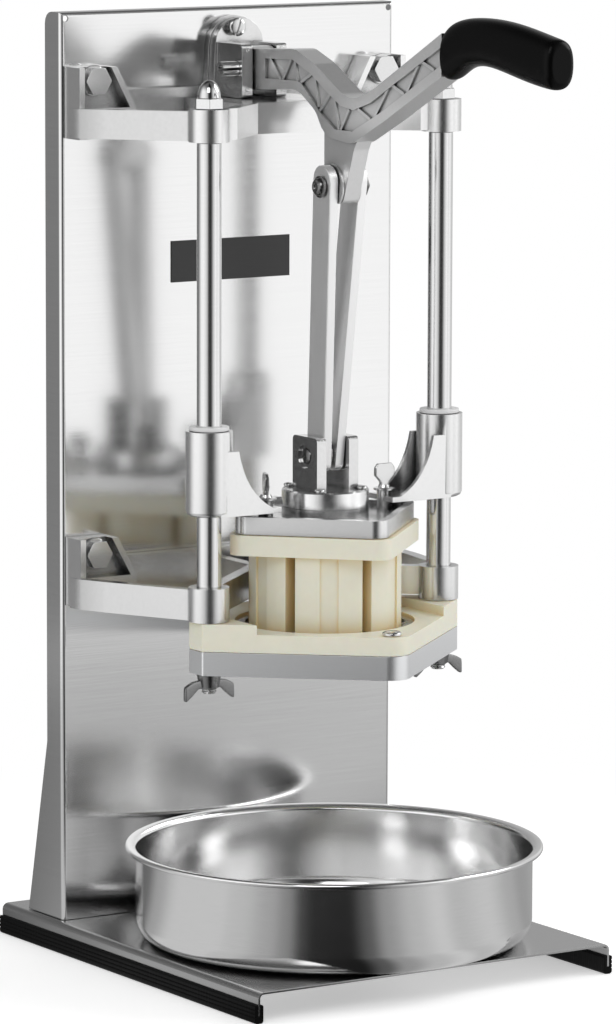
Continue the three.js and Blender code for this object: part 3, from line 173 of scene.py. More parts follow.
backdrop = sky.nodes.new("ShaderNodeBackground")
backdrop.inputs["Color"].default_value = (1, 1, 1, 1)
backdrop.inputs["Strength"].default_value = 1.0
even_light = sky.nodes.new("ShaderNodeBackground")
even_light.inputs["Strength"].default_value = 0.8
ray = sky.nodes.new("ShaderNodeLightPath")
looks_through = sky.nodes.new("ShaderNodeMath")
looks_through.operation = "MAXIMUM"
sky.links.new(ray.outputs["Is Camera Ray"], looks_through.inputs[0])
sky.links.new(ray.outputs["Is Transmission Ray"], looks_through.inputs[1])
lit = mix_shaders(sky, ray.outputs["Is Glossy Ray"], even_light.outputs[0], room.outputs[0])
seen = mix_shaders(sky, looks_through.outputs[0], lit, backdrop.outputs[0])
world_out = sky.nodes.new("ShaderNodeOutputWorld")
sky.links.new(seen, world_out.inputs[0])
print("world nodes:", len(sky.nodes))

# %% [markdown]
# ## Lamps
# Even light alone leaves the plastic flat, so it gets two softboxes: one above the camera and
# a stronger one from the right. They are large area lamps because a small lamp would make
# hard shadows and sharp white dots in the metal. Both aim at the middle of the stand.

# %% Lamps
LAMP_AIM = Vector((0, 0, 0.35))


def soft_lamp(name, place, size, power):
    data = bpy.data.lights.new(name, "AREA")
    data.shape = "RECTANGLE"
    data.size, data.size_y = size
    data.energy = power
    lamp = bpy.data.objects.new(name, data)
    bpy.context.scene.collection.objects.link(lamp)
    lamp.location = place
    lamp.rotation_euler = (LAMP_AIM - lamp.location).to_track_quat("-Z", "Y").to_euler()
    return lamp


lamps = [
    soft_lamp("key_lamp", place=(-1.9, -2.2, 2.6), size=(1.6, 1.6), power=20),
    soft_lamp("side_lamp", place=(2.7, -0.9, 2.2), size=(1.4, 1.8), power=34),
]
print("lamps:", [lamp.name for lamp in lamps])

# %% [markdown]
# ## Working by hand in code
# Every operator acts on what is selected, and loading leaves all the solids selected. So
# each step first clears the selection, then picks its object. Faces and edges are chosen in
# code by where they are or which way they face. A copy gets a mesh of its own, so that work
# on it leaves the first one alone. A finished piece keeps its place in its mesh: its own
# location, rotation and scale go back to nothing.

# %% Selecting, copying and settling
def pick(obj):
    bpy.ops.object.select_all(action="DESELECT")
    bpy.context.view_layer.objects.active = obj
    obj.select_set(True)


def edit_all(obj):
    pick(obj)
    bpy.ops.object.mode_set(mode="EDIT")
    bpy.ops.mesh.select_all(action="SELECT")


def choose(obj, kind, test):
    pick(obj)
    bpy.ops.object.mode_set(mode="EDIT")
    bpy.ops.mesh.select_mode(type=kind)
    bpy.ops.mesh.select_all(action="DESELECT")
    bpy.ops.object.mode_set(mode="OBJECT")
    elements = {"VERT": obj.data.vertices, "EDGE": obj.data.edges, "FACE": obj.data.polygons}
    for element in elements[kind]:
        element.select = test(element)
    bpy.ops.object.mode_set(mode="EDIT")


def twin_of(master):
    twin = bpy.data.objects.new(master.name, master.data.copy())
    bpy.context.scene.collection.objects.link(twin)
    return twin


def settle(obj, name):
    obj.name = name
    pick(obj)
    bpy.ops.object.transform_apply(location=True, rotation=True, scale=True)
    return obj


# %% [markdown]
# ## Edges, shading and paint
# Real edges are never sharp, so a narrow bevel breaks them and catches the light. Faces that
# meet at a small angle are shaded as one curve, and weighted normals keep the large flat
# faces flat. Then the piece gets its paint, it is hung on the body of the solid it stands for,
# so that it moves with that body, and the solid itself is hidden.

# %% Completing a piece
def bevel(obj, width, degrees=32):
    pick(obj)
    edges = obj.modifiers.new("edge_break", "BEVEL")
    edges.width = width
    edges.segments = 2
    edges.limit_method = "ANGLE"
    edges.angle_limit = math.radians(degrees)
    edges.use_clamp_overlap = True
    bpy.ops.object.modifier_apply(modifier=edges.name)


def smooth(obj, degrees=32):
    pick(obj)
    bpy.ops.object.shade_smooth_by_angle(angle=math.radians(degrees))
    level = obj.modifiers.new("level_normals", "WEIGHTED_NORMAL")
    level.mode = "FACE_AREA"
    level.weight = 100
    level.keep_sharp = True
    bpy.ops.object.modifier_apply(modifier=level.name)


def paint(obj, material):
    obj.data.materials.clear()
    obj.data.materials.append(material)


def complete(obj, node, material, degrees=34):
    smooth(obj, degrees)
    paint(obj, material)
    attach(obj, body_of_node[node])
    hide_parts(node)
    return obj


# %% [markdown]
# ## Finishes
# Each finish is one material whose grain lies in the object's own space, so it stays put
# when a part moves. A noise drives a little height, a little roughness and a little colour,
# which is what separates metal from grey paint. The grain is given as how often the noise
# changes along x, y and z. A picture of metal would do too, but it would show its seams.

# %% Material helper
def finish(name, tones, roughness, grain, bump, depth, metallic=1.0, detail=4.0):
    material = bpy.data.materials.new(name)
    material.use_nodes = True
    tree = material.node_tree
    shader = tree.nodes["Principled BSDF"]
    shader.inputs["Metallic"].default_value = metallic
    place = tree.nodes.new("ShaderNodeTexCoord")
    stretch = tree.nodes.new("ShaderNodeMapping")
    stretch.inputs["Scale"].default_value = grain
    noise = tree.nodes.new("ShaderNodeTexNoise")
    noise.inputs["Scale"].default_value = 1.0
    noise.inputs["Detail"].default_value = detail
    noise.inputs["Roughness"].default_value = 0.6
    tint = tree.nodes.new("ShaderNodeMix")
    tint.data_type = "RGBA"
    tint.inputs["A"].default_value = (*tones[0], 1)
    tint.inputs["B"].default_value = (*tones[1], 1)
    dull = tree.nodes.new("ShaderNodeMapRange")
    dull.inputs["To Min"].default_value = roughness[0]
    dull.inputs["To Max"].default_value = roughness[1]
    relief = tree.nodes.new("ShaderNodeBump")
    relief.inputs["Strength"].default_value = bump
    relief.inputs["Distance"].default_value = depth
    tree.links.new(place.outputs["Object"], stretch.inputs["Vector"])
    tree.links.new(stretch.outputs[0], noise.inputs["Vector"])
    tree.links.new(noise.outputs["Fac"], tint.inputs["Factor"])
    tree.links.new(noise.outputs["Fac"], dull.inputs["Value"])
    tree.links.new(noise.outputs["Fac"], relief.inputs["Height"])
    tree.links.new(tint.outputs["Result"], shader.inputs["Base Color"])
    tree.links.new(dull.outputs[0], shader.inputs["Roughness"])
    tree.links.new(relief.outputs[0], shader.inputs["Normal"])
    return material


def grey(value, cool=0.0):
    return (value, value + cool * 0.5, value + cool)


def greys(dark, light, cool=0.0):
    return (grey(dark, cool), grey(light, cool))


# %% [markdown]
# ## Sheet and plate
# The panel and the base are brushed stainless sheet. Brushing is a noise stretched until its
# specks are hairlines: it changes many times faster across the hairs than along them. The
# spun pan has finer rings that lie level, and the milled plate is duller and a little blue.

# %% Sheet and plate
panel_sheet = finish("brushed_panel", greys(0.76, 0.84), roughness=(0.1, 0.18),
                     grain=(14, 14, 1300), bump=0.3, depth=0.04 * MM)
base_sheet = finish("brushed_base", greys(0.47, 0.55), roughness=(0.18, 0.26),
                    grain=(18, 1200, 1200), bump=0.04, depth=0.05 * MM)
pan_sheet = finish("spun_pan", greys(0.86, 0.94), roughness=(0.1, 0.18),
                   grain=(70, 70, 1600), bump=0.12, depth=0.05 * MM)
plate_metal = finish("milled_plate", greys(0.9, 0.96, cool=0.02), roughness=(0.29, 0.42),
                     grain=(300, 300, 1500), bump=0.14, depth=0.06 * MM)
print("sheet and plate:", [m.name for m in (panel_sheet, base_sheet, pan_sheet, plate_metal)])

# %% [markdown]
# ## Castings
# The brackets, the hinge, the pusher and the lever are cast aluminium, tumbled until their
# skin is only a fine pebble. An even noise with few details gives that. The lever and the
# links are paler and duller than the rest, and the clevis stands on a disc that was turned
# bright, so its noise lies in level rings.

# %% Castings
PEBBLE = (420, 420, 420)
cast_metal = finish("cast_aluminium", greys(0.78, 0.87), roughness=(0.2, 0.262),
                    grain=PEBBLE, bump=0.03, depth=0.08 * MM, detail=2.0)
hinge_metal = finish("tumbled_casting", greys(0.64, 0.76), roughness=(0.14, 0.24),
                     grain=PEBBLE, bump=0.04, depth=0.08 * MM, detail=2.0)
lever_metal = finish("lever_casting", greys(0.94, 1.0), roughness=(0.3, 0.4),
                     grain=PEBBLE, bump=0.04, depth=0.08 * MM, detail=2.0)
disc_metal = finish("turned_disc", greys(0.92, 0.98), roughness=(0.16, 0.25),
                    grain=(60, 60, 1400), bump=0.05, depth=0.04 * MM)
link_metal = finish("flat_link", greys(0.94, 1.0), roughness=(0.34, 0.46),
                    grain=(500, 500, 60), bump=0.08, depth=0.06 * MM)
castings = (cast_metal, hinge_metal, lever_metal, disc_metal, link_metal)
print("castings:", [m.name for m in castings])

# %% [markdown]
# ## Small steel
# The rods are ground and plated, cap nuts are polished, and screws are zinc plated. What tells
# them apart is mostly roughness: the smoother the skin, the sharper the cloths show in it.
# The dark ones are given a greyer, darker colour.

# %% Small steel
rod_chrome = finish("ground_rod", greys(0.74, 0.82), roughness=(0.12, 0.19),
                    grain=(60, 60, 1800), bump=0.04, depth=0.03 * MM)
bright_nut = finish("bright_nut", greys(0.7, 0.8), roughness=(0.06, 0.14),
                    grain=(500, 500, 500), bump=0.05, depth=0.03 * MM)
bolt_zinc = finish("bolt_zinc", greys(0.66, 0.78), roughness=(0.17, 0.26),
                   grain=(800, 800, 800), bump=0.12, depth=0.05 * MM)
zinc_plate = finish("zinc_plate", greys(0.24, 0.34), roughness=(0.16, 0.26),
                    grain=(800, 800, 800), bump=0.14, depth=0.05 * MM)
dark_bolt = finish("dark_bolt", greys(0.16, 0.3), roughness=(0.16, 0.26),
                   grain=(900, 900, 900), bump=0.2, depth=0.06 * MM)
blade_steel = finish("blade_steel", greys(0.7, 0.8), roughness=(0.12, 0.25),
                     grain=(400, 400, 1500), bump=0.1, depth=0.04 * MM)
small_steel = (rod_chrome, bright_nut, bolt_zinc, zinc_plate, dark_bolt, blade_steel)
print("small steel:", [m.name for m in small_steel])

# %% [markdown]
# ## Plastic, rubber and paint
# The block and the guide plate are ivory nylon, which lets a little light in, so it gets some
# subsurface. Rubber is nearly black and hardly shines, so its specular is turned down. The
# edge trim has notches along its length, which are a noise that changes fast along y only.

# %% Plastic, rubber and paint
ivory = finish("ivory_nylon", ((0.79, 0.77, 0.64), (0.86, 0.84, 0.71)), roughness=(0.34, 0.48),
               grain=(120, 120, 120), bump=0.12, depth=0.1 * MM, metallic=0.0, detail=6.0)
white_bush = finish("white_bush", greys(0.78, 0.86), roughness=(0.35, 0.5),
                    grain=(300, 300, 300), bump=0.1, depth=0.05 * MM, metallic=0.0)
rubber = finish("black_rubber", greys(0.001, 0.003), roughness=(0.2, 0.28),
                grain=(1500, 1500, 1500), bump=0.12, depth=0.1 * MM, metallic=0.0)
trim_rubber = finish("notched_trim", greys(0.002, 0.004), roughness=(0.4, 0.55),
                     grain=(60, 620, 60), bump=0.6, depth=0.3 * MM, metallic=0.0, detail=2.0)
plate_paint = finish("dark_plate", greys(0.035, 0.045), roughness=(0.3, 0.42),
                     grain=(40, 1500, 1500), bump=0.12, depth=0.03 * MM, metallic=0.3)
for black in (rubber, trim_rubber):
    black.node_tree.nodes["Principled BSDF"].inputs["Specular IOR Level"].default_value = 0.1
nylon_shader = ivory.node_tree.nodes["Principled BSDF"]
nylon_shader.inputs["Subsurface Weight"].default_value = 0.25
nylon_shader.inputs["Subsurface Radius"].default_value = (1, 0.5, 0.2)
nylon_shader.inputs["Subsurface Scale"].default_value = 5 * MM
print("soft finishes:", [m.name for m in (ivory, white_bush, rubber, trim_rubber, plate_paint)])

# %% [markdown]
# ## Painted shade in creases
# Less light reaches the bottom of a corner, so the castings are painted darker there, a painted
# shade, and the nylon is painted golden in its slots, a painted glow for light that shines
# through it. Ambient Occlusion measures how closed in a point is, and it mixes the painted
# shade colour in. Painting the creases by hand would give the same look, but this follows the shape
# by itself.

# %% Creases
# paints shade into corners and slots: where the ambient occlusion is low, the painted shade colour
# replaces the finish's own colour
def shade_creases(material, deep, reach):
    tree = material.node_tree
    shader = tree.nodes["Principled BSDF"]
    plain = shader.inputs["Base Color"].links[0].from_socket
    hollow = tree.nodes.new("ShaderNodeAmbientOcclusion")
    hollow.samples = 4
    hollow.inputs["Distance"].default_value = reach
    steep = tree.nodes.new("ShaderNodeMapRange")
    steep.inputs["From Min"].default_value = 0.3
    steep.inputs["From Max"].default_value = 0.85
    mix = tree.nodes.new("ShaderNodeMix")
    mix.data_type = "RGBA"
    mix.inputs["A"].default_value = (*deep, 1)
    tree.links.new(hollow.outputs["AO"], steep.inputs["Value"])
    tree.links.new(steep.outputs[0], mix.inputs["Factor"])
    tree.links.new(plain, mix.inputs["B"])
    tree.links.new(mix.outputs["Result"], shader.inputs["Base Color"])


# painted shade in the creases of the castings, and a painted golden glow in the nylon's slots
PAINTED_CREASE_SHADE = (
    # finish, its painted shade colour deep in a crease, how far away a wall still counts
    (cast_metal, grey(0.24), 12 * MM),
    (lever_metal, grey(0.24), 12 * MM),
    (disc_metal, grey(0.3), 6 * MM),
    (hinge_metal, grey(0.4), 6 * MM),
    (ivory, (0.84, 0.66, 0.34), 14 * MM),
)
for material, deep, reach in PAINTED_CREASE_SHADE:
    shade_creases(material, deep, reach)
print("creased finishes:", len(PAINTED_CREASE_SHADE))

# %% [markdown]
# ## The lever's rounded outline
# The lever is a flat casting with truss ribs, and its outer edge is rounder than the edges of
# its ribs. The outline is where a face that looks sideways meets a rim face that lies in the
# middle plane. Those edges are selected and beveled on their own, before all the rest.

# %% Rounded outline
def round_outline(obj, width):
    middle = sum(v.co.x for v in obj.data.vertices) / len(obj.data.vertices)
    sides, rims = set(), set()
    for face in obj.data.polygons:
        if abs(face.normal.x) > 0.9:
            sides.update(face.edge_keys)
        elif abs(face.center.x - middle) < 1.0 * MM:
            rims.update(face.edge_keys)
    outline = sides & rims
    choose(obj, "EDGE", lambda edge: edge.key in outline)
    bpy.ops.mesh.bevel(offset=width, segments=3, affect="EDGES", clamp_overlap=True)
    bpy.ops.object.mode_set(mode="OBJECT")
    print(obj.name, "outline edges rounded:", len(outline))


# %% [markdown]
# ## Castings, plates and folded sheet
# These shapes are already right, so a copy of each solid is finished as a fettler would
# finish it: loose triangles are merged into whole faces, and every sharp edge is broken by a
# bevel, wide on a casting and narrow on sheet. The small parts that follow further down are
# left out here, because they are modelled afresh.

# %% Finish the solids
EDGE_BREAK = {
    # node: width of its broken edges in millimetres, 0.3 where a node isn't listed
    "upper_bracket": 0.9, "lower_bracket": 0.9, "hinge_bracket": 0.8, "lever_casting": 0.4,
    "pusher_casting": 0.8, "clevis": 0.7, "pusher_block": 0.8, "guide_plate": 0.7,
    "blade_plate": 0.5, "link_left": 0.5, "link_right": 0.5, "base_plate": 0.25,
    "back_panel": 0.25,
}
FINISH_OF_SLOT = {
    "stainless": panel_sheet, "base_steel": base_sheet, "cast_aluminium": cast_metal,
    "lever_aluminium": lever_metal, "plate_aluminium": plate_metal, "zinc": zinc_plate,
    "blade_steel": blade_steel, "ivory_plastic": ivory, "nylon": white_bush, "rubber": rubber,
}
OWN_FINISH = {
    "hinge_bracket": hinge_metal, "clevis": hinge_metal, "link_left": link_metal,
    "link_right": link_metal, "hinge_pin": bolt_zinc, "lug_pin": dark_bolt,
    "rubber_trim_left": trim_rubber, "rubber_trim_right": trim_rubber,
}
# nodes whose names start so are modelled afresh further down, all but link_bolt_nut
MODELLED = ("guide_rod_", "cap_nut_", "bracket_bolt_", "base_bolt_", "hinge_screw", "plate_screw_",
            "clevis_screw_", "wing_nut_", "thumb_screw_", "catch_pan", "grip", "link_bolt",
            "clevis_pin")


def refine(node):
    copy = twin_of(nodes[node])
    copy.name = node + "_finished"
    edit_all(copy)
    bpy.ops.mesh.remove_doubles(threshold=0.002 * MM)
    bpy.ops.mesh.dissolve_limited(angle_limit=math.radians(1.0))
    bpy.ops.object.mode_set(mode="OBJECT")
    if node == "lever_casting":
        round_outline(copy, 1.4 * MM)
    bevel(copy, EDGE_BREAK.get(node, 0.3) * MM)
    slot = slot_of_node[node]
    return complete(copy, node, OWN_FINISH.get(node, FINISH_OF_SLOT[slot]), 32)


kept = [node for node in sorted(nodes) if not node.startswith(MODELLED) or node == "link_bolt_nut"]
finished = {node: refine(node) for node in kept}
print("finished solids:", len(kept), "of", len(nodes))

# %% [markdown]
# ## Turned disc
# The clevis stands on a disc that was turned bright on a lathe, and the two are one solid.
# So the faces below the disc's upper side get a second material. Splitting the solid would
# do too, but it would open a seam.

# %% Turned disc
DISC_THICK = 6.5
clevis = finished["clevis"]
disc_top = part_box("clevis")[0][2] + DISC_THICK * MM
disc_faces = [face for face in clevis.data.polygons if face.center.z < disc_top]
clevis.data.materials.append(disc_metal)
for face in disc_faces:
    face.material_index = 1
print("faces of the turned disc:", len(disc_faces), "of", len(clevis.data.polygons))

# %% [markdown]
# ## Where a piece goes
# A new piece is modelled upright with one end on the origin, and then put where its solid
# is. The box of the solid gives the place: a rod starts from below, a wing nut hangs from
# above, a bracket bolt starts from behind and a pin starts from the right. What repeats is
# modelled once. Every copy gets its own mesh, and the first one is scrapped.

# %% Placing
# axis of the solid's box, its low (0) or high (1) end, turn in degrees
FROM_BELOW = (2, 0, (0, 0, 0))
FROM_ABOVE = (2, 1, (0, 0, 0))
FROM_BEHIND = (1, 1, (90, 0, 0))
FROM_RIGHT = (0, 1, (0, -90, 0))


def centre_of(node):
    low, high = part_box(node)
    return Vector([(a + b) / 2 for a, b in zip(low, high)])


def length_of(node, start):
    low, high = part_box(node)
    axis = start[0]
    return (high[axis] - low[axis]) / MM


def stand(obj, name, place, turn=(0, 0, 0)):
    obj.location = place
    obj.rotation_euler = [math.radians(angle) for angle in turn]
    return settle(obj, name)


def put(obj, node, ending, start):
    axis, end, turn = start
    place = centre_of(node)
    place[axis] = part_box(node)[end][axis]
    return stand(obj, node + ending, place, turn)


def scrap(obj):
    bpy.data.meshes.remove(obj.data)


# %% [markdown]
# ## The lathe
# A turned part starts as the outline of half its section, spun once round its axis, which is
# what a lathe does. The outline is a list of radius and height in millimetres. Domes and
# rounds in it are stretches of an oval. A thread is a zigzag of rings, because at this size
# nobody can see that a real thread climbs.

# %% Lathe
def lathe(name, outline, steps):
    mesh = bpy.data.meshes.new(name)
    links = [(i, i + 1) for i in range(len(outline) - 1)]
    mesh.from_pydata([(radius * MM, 0, z * MM) for radius, z in outline], links, [])
    obj = bpy.data.objects.new(name, mesh)
    bpy.context.scene.collection.objects.link(obj)
    edit_all(obj)
    bpy.ops.mesh.spin(steps=steps, angle=math.tau, center=(0, 0, 0), axis=(0, 0, 1))
    bpy.ops.mesh.select_all(action="SELECT")
    bpy.ops.mesh.remove_doubles(threshold=0.004 * MM)
    bpy.ops.mesh.normals_make_consistent(inside=False)
    bpy.ops.object.mode_set(mode="OBJECT")
    return obj


def oval(centre, across, up, start, end, steps):
    turns = [math.radians(start + (end - start) * step / steps) for step in range(steps + 1)]
    return [(centre[0] + across * math.cos(turn), centre[1] + up * math.sin(turn)) for turn in turns]


def threads(radius, low, high, pitch=1.5, deep=0.55):
    outline = []
    z = low
    while z + pitch <= high:
        outline += [(radius - deep, z), (radius, z + pitch / 2)]
        z += pitch
    return outline + [(radius - deep, z), (radius - deep, high)]


# %% [markdown]
# ## Guide rods
# Two ground and plated bars, 16 mm thick, carry everything. Each is turned down at both ends
# to a stud with a thread, which shows for a few millimetres under the wing nuts. The outline
# is stud, shoulder with a small chamfer, long plain middle, shoulder, stud. Three cylinders
# would do too, but a spun outline is one closed skin without walls inside it.

# %% Guide rods
SIDES = ("left", "right")
ROD = 8.0
STUD = 5.0
STUD_END = 3.9
UPPER_STUD_LENGTH = 31.2
CHAMFER = 0.6
tall = length_of("guide_rod_left", FROM_BELOW)
lower_shoulder = (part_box("guide_plate")[0][2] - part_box("guide_rod_left")[0][2]) / MM
upper_shoulder = tall - UPPER_STUD_LENGTH
rod_outline = [(0.0, 0.0), (STUD_END, 0.0)] + threads(STUD, 0.6, lower_shoulder)
rod_outline += [(ROD - CHAMFER, lower_shoulder), (ROD, lower_shoulder + CHAMFER),
                (ROD, upper_shoulder - CHAMFER), (ROD - CHAMFER, upper_shoulder)]
rod_outline += threads(STUD, upper_shoulder + 0.2, tall - 0.6) + [(STUD_END, tall), (0.0, tall)]
first_rod = lathe("guide_rod", rod_outline, 64)
for side in SIDES:
    node = "guide_rod_" + side
    rod = put(twin_of(first_rod), node, "_turned", FROM_BELOW)
    complete(rod, node, rod_chrome, 40)
scrap(first_rod)
print("guide rods:", len(SIDES), "with", len(rod_outline), "points in the outline")

# %% [markdown]
# ## Cap nuts
# A cap nut closes each upper stud: a hexagon with a tall rounded dome on it, polished. The
# hexagon is a six-sided cylinder whose upper corners are beveled, as on a real nut. The dome
# is a spun quarter of an oval, on a collar that is a little wider than the dome. Half a
# sphere would be quicker, but the real dome is half as tall again as a sphere would be.

# %% Cap nuts
M10_FLATS = 17


def hexagon(name, flats, bottom, top):
    bpy.ops.object.select_all(action="DESELECT")
    bpy.ops.mesh.primitive_cylinder_add(
        vertices=6, radius=flats * MM / 2 / math.cos(math.pi / 6), depth=(top - bottom) * MM,
        location=(0, 0, (top + bottom) * MM / 2), rotation=(0, 0, math.pi / 6))
    obj = settle(bpy.context.active_object, name)
    choose(obj, "VERT", lambda v: v.co.z > (top - 0.01) * MM)
    bpy.ops.mesh.bevel(offset=1.2 * MM, segments=2, affect="VERTICES")
    bpy.ops.object.mode_set(mode="OBJECT")
    bevel(obj, 0.25 * MM, 40)
    return obj


def join(name, parts):
    bpy.ops.object.select_all(action="DESELECT")
    for obj in parts:
        obj.select_set(True)
    bpy.context.view_layer.objects.active = parts[0]
    bpy.ops.object.join()
    parts[0].name = name
    return parts[0]


dome = [(0.0, 5.6), (7.9, 5.6), (7.9, 6.6)] + oval((0.0, 6.9), 7.5, 11.3, 0, 90, 12)
first_nut = join("cap_nut", [hexagon("flats", M10_FLATS, 0, 6.5), lathe("dome", dome, 48)])
for side in SIDES:
    node = "cap_nut_" + side
    nut = put(twin_of(first_nut), node, "_polished", FROM_BELOW)
    complete(nut, node, bright_nut)
scrap(first_nut)
print("cap nuts:", len(SIDES))

# %% [markdown]
# ## Hexagon bolts
# The brackets hang on four large bolts with flat washers, and two smaller ones hold the foot
# of the back panel. Each is a hexagon on a spun body, so that the washer, the plain shank
# and the thread are one turned outline. The large ones are laid down, heads to the front.
# Bolts made of bare cylinders would be lighter, but their threads show behind the panel.

# %% Hexagon bolts
def hex_bolt(name, tall, flats, head, shank, washer=()):
    under = tall - head
    thread_end = min(12.0, under / 2)
    body = [(0.0, 0.0), (shank - 0.8, 0.0)] + threads(shank, 0.6, thread_end)
    body.append((shank, thread_end + 0.6))
    if washer:
        rim, thick = washer
        body += [(shank, under - thick), (rim - 0.3, under - thick), (rim, under - thick + 0.3),
                 (rim, under - 0.3), (rim - 0.3, under)]
    body += [(shank, under), (shank, under + head / 2), (0.0, under + head / 2)]
    return join(name, [hexagon("head", flats, under, tall), lathe("body", body, 40)])


large_bolt = hex_bolt("bracket_bolt", length_of("bracket_bolt_upper_left", FROM_BEHIND),
                      flats=M10_FLATS, head=6.4, shank=STUD, washer=(10.2, 1.8))
small_bolt = hex_bolt("base_bolt", length_of("base_bolt_left", FROM_BELOW),
                      flats=13, head=5.3, shank=4.0)
for side in SIDES:
    for master, family, start in ((large_bolt, "bracket_bolt_upper_", FROM_BEHIND),
                                  (large_bolt, "bracket_bolt_lower_", FROM_BEHIND),
                                  (small_bolt, "base_bolt_", FROM_BELOW)):
        bolt = put(twin_of(master), family + side, "_turned", start)
        complete(bolt, family + side, bolt_zinc)
scrap(large_bolt)
scrap(small_bolt)
print("hexagon bolts:", 3 * len(SIDES))

# %% [markdown]
# ## Slotted screws
# One slotted screw holds the hinge bracket, two hold the plates together and four the clevis
# disc. They share one outline, a low dome on a threaded shank. Each copy is sawn across with
# a boolean of its own, because the slots of real screws stop at different angles when they
# are tight.

# %% Slotted screws
def saw(obj, width, bottom, top, degrees):
    bpy.ops.object.select_all(action="DESELECT")
    bpy.ops.mesh.primitive_cube_add(
        size=1, location=(0, 0, (bottom + top) * MM / 2), rotation=(0, 0, math.radians(degrees)),
        scale=(width * MM, 50 * MM, (top - bottom) * MM))
    blade = bpy.context.active_object
    pick(obj)
    cut = obj.modifiers.new("slot", "BOOLEAN")
    cut.object = blade
    cut.solver = "EXACT"
    bpy.ops.object.modifier_apply(modifier=cut.name)
    scrap(blade)


def slotted_screws(slot_angles, start, head_radius, head, shank, slot_width):
    tall = length_of(next(iter(slot_angles)), start)
    under = tall - head
    thread_end = under * 0.6
    body = [(0.0, 0.0), (shank - 0.6, 0.0)] + threads(shank, 0.4, thread_end, 1.0, 0.35)
    body += [(shank, thread_end + 0.3), (shank, under), (head_radius - 0.3, under),
             (head_radius, under + 0.3)]
    body += oval((0.0, under + head * 0.45), head_radius, head * 0.55, 0, 90, 8)
    blank = lathe("screw_blank", body, 40)
    for node, angle in slot_angles.items():
        screw = twin_of(blank)
        saw(screw, slot_width, tall - head * 0.6, tall + 2, angle)
        put(screw, node, "_turned", start)
        complete(screw, node, bolt_zinc)
    scrap(blank)
    print("slotted screws:", list(slot_angles))


slotted_screws({"hinge_screw": -20}, FROM_BEHIND, head_radius=6.1, head=3.2, shank=4.0,
               slot_width=1.4)
slotted_screws({"plate_screw_front": 70, "plate_screw_rear": 115}, FROM_BELOW,
               head_radius=6.25, head=3.2, shank=3.0, slot_width=1.4)
slotted_screws({"clevis_screw_front_left": 35, "clevis_screw_front_right": 75,
                "clevis_screw_rear_left": 115, "clevis_screw_rear_right": 155}, FROM_BELOW,
               head_radius=3.6, head=2.2, shank=2.0, slot_width=1.0)

# %% [markdown]
# ## Wing nuts
# A wing nut is a small casting that fingers turn, so its edges are round all over. For a wing
# a block is extruded outwards in steps that change its width, and a subdivision surface melts
# the steps into one soft paddle. The other wing is a copy turned half round, and the hub is
# spun. Sculpting would give the same softness, but no size could be read from it.

# %% Wing nuts
def paddle(name, centre, size, direction, steps):
    bpy.ops.object.select_all(action="DESELECT")
    bpy.ops.mesh.primitive_cube_add(size=1, location=[c * MM for c in centre],
                                    scale=[s * MM for s in size])
    obj = settle(bpy.context.active_object, name)
    outwards = Vector(direction)
    for shift, scale in steps:
        furthest = max(face.center.dot(outwards) for face in obj.data.polygons)
        choose(obj, "FACE", lambda face: face.normal.dot(outwards) > 0.5
               and face.center.dot(outwards) > furthest - 0.4 * MM)
        bpy.ops.mesh.extrude_region_move(
            TRANSFORM_OT_translate={"value": [s * MM for s in shift]})
        bpy.ops.transform.resize(value=scale)
        bpy.ops.object.mode_set(mode="OBJECT")
    edges = obj.modifiers.new("edge_break", "BEVEL")
    edges.width = 0.5 * MM
    edges.segments = 2
    soft = obj.modifiers.new("soft", "SUBSURF")
    soft.levels = soft.render_levels = 2
    pick(obj)
    bpy.ops.object.modifier_apply(modifier=edges.name)
    bpy.ops.object.modifier_apply(modifier=soft.name)
    return obj


hub = [(0.0, -9.5), (5.6, -9.5), (6.4, -8.8), (8.0, -0.7), (7.5, 0.0), (0.0, 0.0)]
wing = paddle("wing", (6.2, 0, -6.8), (5.0, 3.4, 5.6), (1, 0, 0), [
    # how far the end face moves, and how it is resized
    ((4.6, 0, -2.6), (1, 1, 1.62)),
    ((4.4, 0, -3.0), (1, 1, 1.1)),
    ((1.0, 0, -0.5), (1, 0.8, 0.75)),
])
other_wing = stand(twin_of(wing), "other_wing", (0, 0, 0), (0, 0, 180))
first_wing_nut = join("wing_nut", [lathe("hub", hub, 40), wing, other_wing])
for side in SIDES:
    node = "wing_nut_" + side
    wing_nut = put(twin_of(first_wing_nut), node, "_cast", FROM_ABOVE)
    complete(wing_nut, node, zinc_plate, 40)
scrap(first_wing_nut)
print("wing nuts:", len(SIDES))

# %% [markdown]
# ## Thumb screws
# Two spade screws hold the ivory block under the pusher casting, and fingers undo them. The
# spade is the same kind of paddle, drawn upwards: it widens fast, thins a little and closes
# in a rounded top. The threaded body, its washer and the neck under the spade are one spun
# outline. The left screw stopped at another angle, so its copy is turned first.

